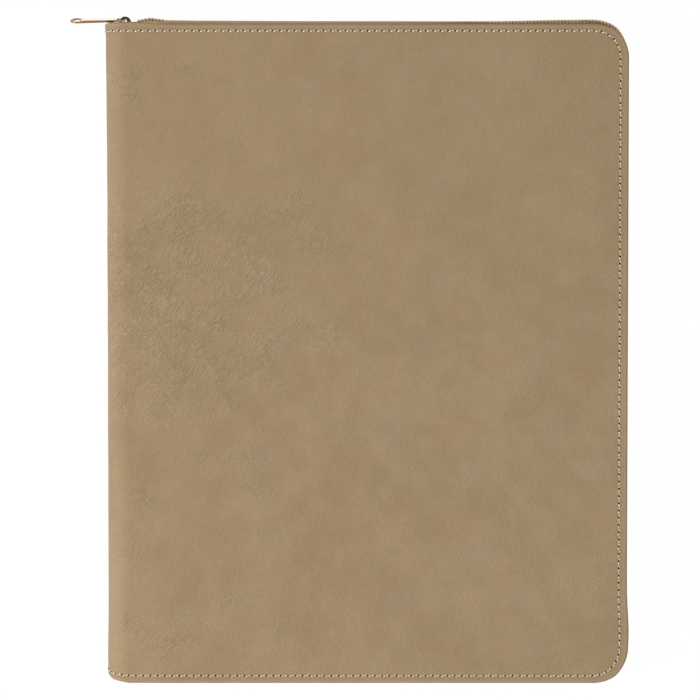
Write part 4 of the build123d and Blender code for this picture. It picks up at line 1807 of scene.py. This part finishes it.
@dataclass
class FrontPockets:
    """The document pocket and the stepped card pockets inside the front cover."""

    body: str = "front_cover"
    seam: float = 2.2
    seam_top: float = 0.5
    thumb: float = 12.0
    thumb_round: float = 1.5
    low_corner: float = 4.0
    mouth_corner: float = 1.6
    hem: float = 3.0
    hem_end: float = 1.5
    stand: float = 0.35
    card_count: int = 3
    card_corner: float = 2.5
    card_hem: float = 2.6
    card_stand: float = 0.12

    def dress(self, bench: Bench) -> None:
        """Build the pockets and sew them down."""
        self._document(bench)
        for number in range(1, self.card_count + 1):
            self._card(number, bench)

    def _document(self, bench: Bench) -> None:
        """The large pocket, with a thumb cut in its mouth."""
        low, high = box_mm("document_pocket")
        reach, mouth = self.thumb, self.thumb_round
        start, end = (low.x + high.x) / 2 - reach, (low.x + high.x) / 2 + reach
        notch = reach - mouth - 0.1
        corners = [(low.x, low.y, self.low_corner), (high.x, low.y, self.low_corner),
                   (high.x, high.y, self.mouth_corner), (end, high.y, mouth), (end, high.y - reach, notch),
                   (start, high.y - reach, notch), (start, high.y, mouth), (low.x, high.y, self.mouth_corner)]

        def drape(flat: Array, inset: Array) -> Array:
            """The pocket stands a little away from the lining towards its mouth."""
            open_share = smooth_step(flat[:, 1], low.y, high.y) * smooth_step(inset, 0.0, 25.0)
            slack = 0.12 * field_noise(flat, 38.0, 4.5) * smooth_step(inset, 2.0, 12.0)
            return slack - self.stand * open_share

        panel = SoftPanel("document_pocket_panel", "document_pocket", self.body, corners, low.z, high.z,
                          drape)
        panel.build(bench.pocket, ["front_cover_lining"])
        panel.sew("document_pocket_stitches", u_seam(low, high, self.seam, self.seam_top), -1, bench)
        hems = ((low.x + self.hem_end, start - 2), (end + 2, high.x - self.hem_end))
        for number, (first, last) in enumerate(hems, 1):
            line = [(first, high.y - self.hem, 0), (last, high.y - self.hem, 0)]
            panel.sew(f"document_pocket_hem_stitches_{number}", line, -1, bench)

    def _card(self, number: int, bench: Bench) -> None:
        """One of the card pockets, each sewn over the one before it."""
        low, high = box_mm(f"card_pocket_{number}")
        corners = [(low.x, low.y, self.card_corner), (high.x, low.y, self.card_corner),
                   (high.x, high.y, self.mouth_corner), (low.x, high.y, self.mouth_corner)]

        def drape(flat: Array, inset: Array) -> Array:
            """The mouth bows a little away from what is behind it."""
            across = smooth_step(np.minimum(flat[:, 0] - low.x, high.x - flat[:, 0]), 2.0, 24.0)
            return -self.card_stand * number * across * smooth_step(flat[:, 1], high.y - 30, high.y)

        panel = SoftPanel(f"card_pocket_panel_{number}", f"card_pocket_{number}", self.body, corners, low.z,
                          high.z, drape)
        below = f"card_pocket_panel_{number - 1}" if number > 1 else "front_cover_lining"
        panel.build(bench.pocket, [below])
        level = high.y - self.card_hem
        line = [(low.x + self.hem_end, level, 0), (high.x - self.hem_end, level, 0)]
        panel.sew(f"card_pocket_hem_stitches_{number}", line, -1, bench)
        if number == self.card_count:
            panel.sew("card_pocket_stitches", u_seam(low, high, self.seam, self.seam_top), -1, bench)


@dataclass
class WritingPad:
    """The pad of ruled sheets, its board and binding, and the sleeve that holds it."""

    leaf: float = 0.45
    stray: float = 0.16
    corner: float = 0.6
    sleeve_seam: float = 1.4
    sleeve_wall: float = 0.8

    def dress(self, bench: Bench) -> None:
        """Build the sheets and the sleeve, and finish the board and the binding."""
        self._sheets(bench)
        self._sleeve(bench)
        bench.finish_node("notepad_backing", bench.backing)
        bench.finish_node("notepad_binding", bench.binding)

    def _sheets(self, bench: Bench) -> None:
        """A block of leaves whose edges are not quite in line, raised where it lies over the sleeve."""
        low, high = box_mm("notepad_sheets")
        _, sleeve_high = box_mm("pad_sleeve")
        plan = ((low.x, low.y), (high.x, low.y), (high.x, high.y), (low.x, high.y))
        route = Route([(x, y, self.corner) for x, y in plan], closed=True)
        rim, directions = route.at(route.stations(6.0))
        inward = left_of(directions)

        def floor(flat: Array) -> Array:
            """The block's underside."""
            over = smooth_step(flat[:, 1], sleeve_high.y + 2.0, sleeve_high.y + 0.4)
            return low.z + (sleeve_high.z - low.z) * over

        count = round((high.z - low.z) / self.leaf)
        heights = np.linspace(low.z, high.z, 2 * count)
        insets = [self.stray * (0.5 + 0.5 * noise.noise((0.0, index * 0.73, 5.5))) for index in range(count)]
        points, flats, starts = [], [], []
        for index, height in enumerate(heights):
            flat = rim + inward * (insets[index // 2] + (0.1 if index % 2 else 0.0))
            starts.append(index * len(rim))
            flats.append(flat)
            share = (height - low.z) / (high.z - low.z)
            points.append(np.column_stack([flat, floor(flat) * (1 - share) + high.z * share]))
        faces = strips(starts, len(rim), True)
        total = len(heights) * len(rim)
        for ring in (0, len(heights) - 1):
            inner, found = fill_flat(flats[ring], 8.0)
            faces.extend(renumbered(found, starts[ring], len(rim), total))
            level = floor(inner) if ring == 0 else np.full(len(inner), high.z)
            points.append(np.column_stack([inner, level]))
            total += len(inner)
        piece = make_piece("notepad_leaves", np.concatenate(points), faces, bench.paper)
        piece.data.polygons.foreach_set("use_smooth", [False] * len(piece.data.polygons))
        fix(piece, "back_cover", "paper", "notepad_sheets")

    def _sleeve(self, bench: Bench) -> None:
        """The panel that holds the pad's board, sewn down on three sides."""
        low, high = box_mm("pad_sleeve")
        corners = [(low.x, low.y, 3.0), (high.x, low.y, 3.0), (high.x, high.y, 1.6), (low.x, high.y, 1.6)]

        def drape(flat: Array, inset: Array) -> Array:
            """The sewn sides lie on the lining, and the rest lies over the board."""
            side = np.minimum(np.minimum(flat[:, 0] - low.x, high.x - flat[:, 0]), flat[:, 1] - low.y)
            return -self.sleeve_wall * smooth_step(side, 2.3, 0.9)

        panel = SoftPanel("pad_sleeve_panel", "pad_sleeve", "back_cover", corners, high.z - self.sleeve_wall,
                          high.z, drape)
        panel.build(bench.pocket, ["back_cover_lining", "notepad_backing"])
        panel.sew("pad_sleeve_stitches", u_seam(low, high, self.sleeve_seam, 1.0), 1, bench)


@dataclass
class PenLoop:
    """The elastic loop on the spine, a band sewn flat along one side."""

    bore: float = 5.0
    wall: float = 0.8
    edge: float = 0.3
    foot_angle: float = 0.23
    turns: int = 56

    def dress(self, bench: Bench) -> None:
        """Build the band as a closed ring of rounded section."""
        low, high = box_mm("pen_loop")
        centre = np.array([low.x + self.bore + self.wall, (low.z + high.z) / 2])
        inner, outer, edge = self.bore, self.bore + self.wall, self.edge
        rows = np.linspace(low.y + edge, high.y - edge, 20)[1:-1]
        section = [(inner, low.y + edge), (inner + edge, low.y), (outer - edge, low.y), (outer, low.y + edge)]
        section += [(outer, y) for y in rows]
        section += [(outer, high.y - edge), (outer - edge, high.y), (inner + edge, high.y),
                    (inner, high.y - edge)]
        section += [(inner, y) for y in rows[::-1]]
        points, flats = [], []
        for index in range(self.turns):
            angle = 2 * math.pi * index / self.turns
            off_foot = abs(angle - math.pi)
            flatten = 1 / math.cos(min(off_foot, self.foot_angle)) if off_foot < 2 * self.foot_angle else 1.0
            for radius, y in section:
                grown = radius * (flatten if radius > self.bore + self.wall / 2 else 1.0)
                points.append((centre[0] - grown * math.cos(angle), y, centre[1] + grown * math.sin(angle)))
                flats.append((angle * self.bore, y))
        starts = [index % self.turns * len(section) for index in range(self.turns + 1)]
        faces = strips(starts, len(section), True)
        piece = make_piece("pen_loop_band", np.array(points), faces, bench.elastic, np.array(flats))
        fix(piece, "spine", "elastic", "pen_loop")


@dataclass
class Studio:
    """A white floor, the photograph's camera and three soft lamps: left, overhead and past the zip."""

    view_width: float = 324.24
    aim_x: float = -8.1
    aim_y: float = 1.12
    distance: float = 2000.0
    tilt: float = 3.6
    sensor: float = 36.0
    floor_half: float = 4000.0
    floor_drop: float = 0.3
    white: float = 1.012
    white_share: float = 0.965
    sky: float = 0.52
    key_power: float = 21.2
    fill_power: float = 3.5
    zip_power: float = 4.0

    def set_up(self, case: Case) -> None:
        """Make the floor, the world, the lamps and the camera."""
        bpy.context.scene.view_settings.view_transform = "Standard"
        self._floor()
        self._world()
        self._lamp("key_light", (-1450.0, -520.0, 1050.0), 900.0, self.key_power)
        self._lamp("fill_light", (500.0, -850.0, 1750.0), 1600.0, self.fill_power)
        self._lamp("zip_light", (300.0, 1500.0, 900.0), 900.0, self.zip_power)
        self._camera(case)

    def _seen_white(self, paint: Nodes) -> Wire:
        """1 for rays that should see white: the camera's, and those of gloss and glass."""
        rays = [paint.node("ShaderNodeLightPath", None, None, name)
                for name in ("Is Camera Ray", "Is Glossy Ray", "Is Transmission Ray")]
        return (rays[0] + rays[1] + rays[2]).step(0.0, 0.5)

    def _floor(self) -> None:
        """A wide pale floor that keeps a faint shadow."""
        half, level = self.floor_half * MM, -self.floor_drop * MM
        mesh = bpy.data.meshes.new("floor")
        corners = [(x * half, y * half, level) for x, y in ((-1, -1), (1, -1), (1, 1), (-1, 1))]
        mesh.from_pydata(corners, [], [(0, 1, 2, 3)])
        paint = Paint("floor_white")
        lit = paint.node("ShaderNodeBsdfDiffuse", None, {"Color": (0.9, 0.9, 0.9, 1.0)})
        white = paint.node("ShaderNodeEmission", None, {"Color": WHITE, "Strength": self.white})
        share = self._seen_white(paint) * self.white_share
        paint.node_end("ShaderNodeOutputMaterial",
                       paint.node("ShaderNodeMixShader", None, {0: share, 1: lit, 2: white}))
        mesh.materials.append(paint.material)
        put_in_scene("floor", mesh)

    def _world(self) -> None:
        """An even sky, which the camera sees as white."""
        world = bpy.data.worlds.new("studio")
        world.use_nodes = True
        bpy.context.scene.world = world
        paint = Nodes(world.node_tree)
        seen = self._seen_white(paint)
        strength = seen * (1.0 - self.sky) + self.sky
        light = paint.node("ShaderNodeBackground", None, {"Color": WHITE, "Strength": strength})
        paint.node_end("ShaderNodeOutputWorld", light)

    def _lamp(self, name: str, place: Triple, size: float, power: float) -> None:
        """A square soft light that faces the case."""
        lamp = bpy.data.lights.new(name, "AREA")
        lamp.size = size * MM
        lamp.energy = power
        holder = put_in_scene(name, lamp)
        holder.location = Vector(place) * MM
        holder.rotation_euler = (-holder.location).to_track_quat("-Z", "Y").to_euler()

    def _camera(self, case: Case) -> None:
        """Look down at the front cover, from a little towards the zip's edge."""
        aim = Vector((self.aim_x, self.aim_y, case.thickness))
        back = Vector((0.0, math.sin(math.radians(self.tilt)), math.cos(math.radians(self.tilt))))
        camera = bpy.data.cameras.new("camera")
        camera.sensor_width = self.sensor
        camera.lens = self.sensor * self.distance / self.view_width
        camera.clip_start, camera.clip_end = 0.05, 50.0
        holder = put_in_scene("camera", camera)
        holder.location = (aim + back * self.distance) * MM
        holder.rotation_euler = (-math.radians(self.tilt), 0.0, 0.0)
        bpy.context.scene.camera = holder


def main() -> None:
    """Build every piece in order."""
    logging.basicConfig(level=logging.INFO, format="%(message)s")
    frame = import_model()
    case = Case.from_frame()
    bench = Bench(frame["nodes"])
    fold = case.fold_radius
    leather_wrap = WrapSheet(case, inset=0.0, reach=fold, rise=fold, face=case.thickness)
    lining_wrap = WrapSheet(case, inset=4.8, reach=8.3, rise=6.5, face=19.0)
    for side in Side:
        LeatherCover(leather_wrap, side).dress(bench)
        LiningCover(lining_wrap, side).dress(bench)
        bench.finish_node(f"{side.value}_board", bench.board)
    Zip(case).dress(bench)
    FrontPockets().dress(bench)
    WritingPad().dress(bench)
    PenLoop().dress(bench)
    Studio().set_up(case)


if __name__ == "__main__":
    main()
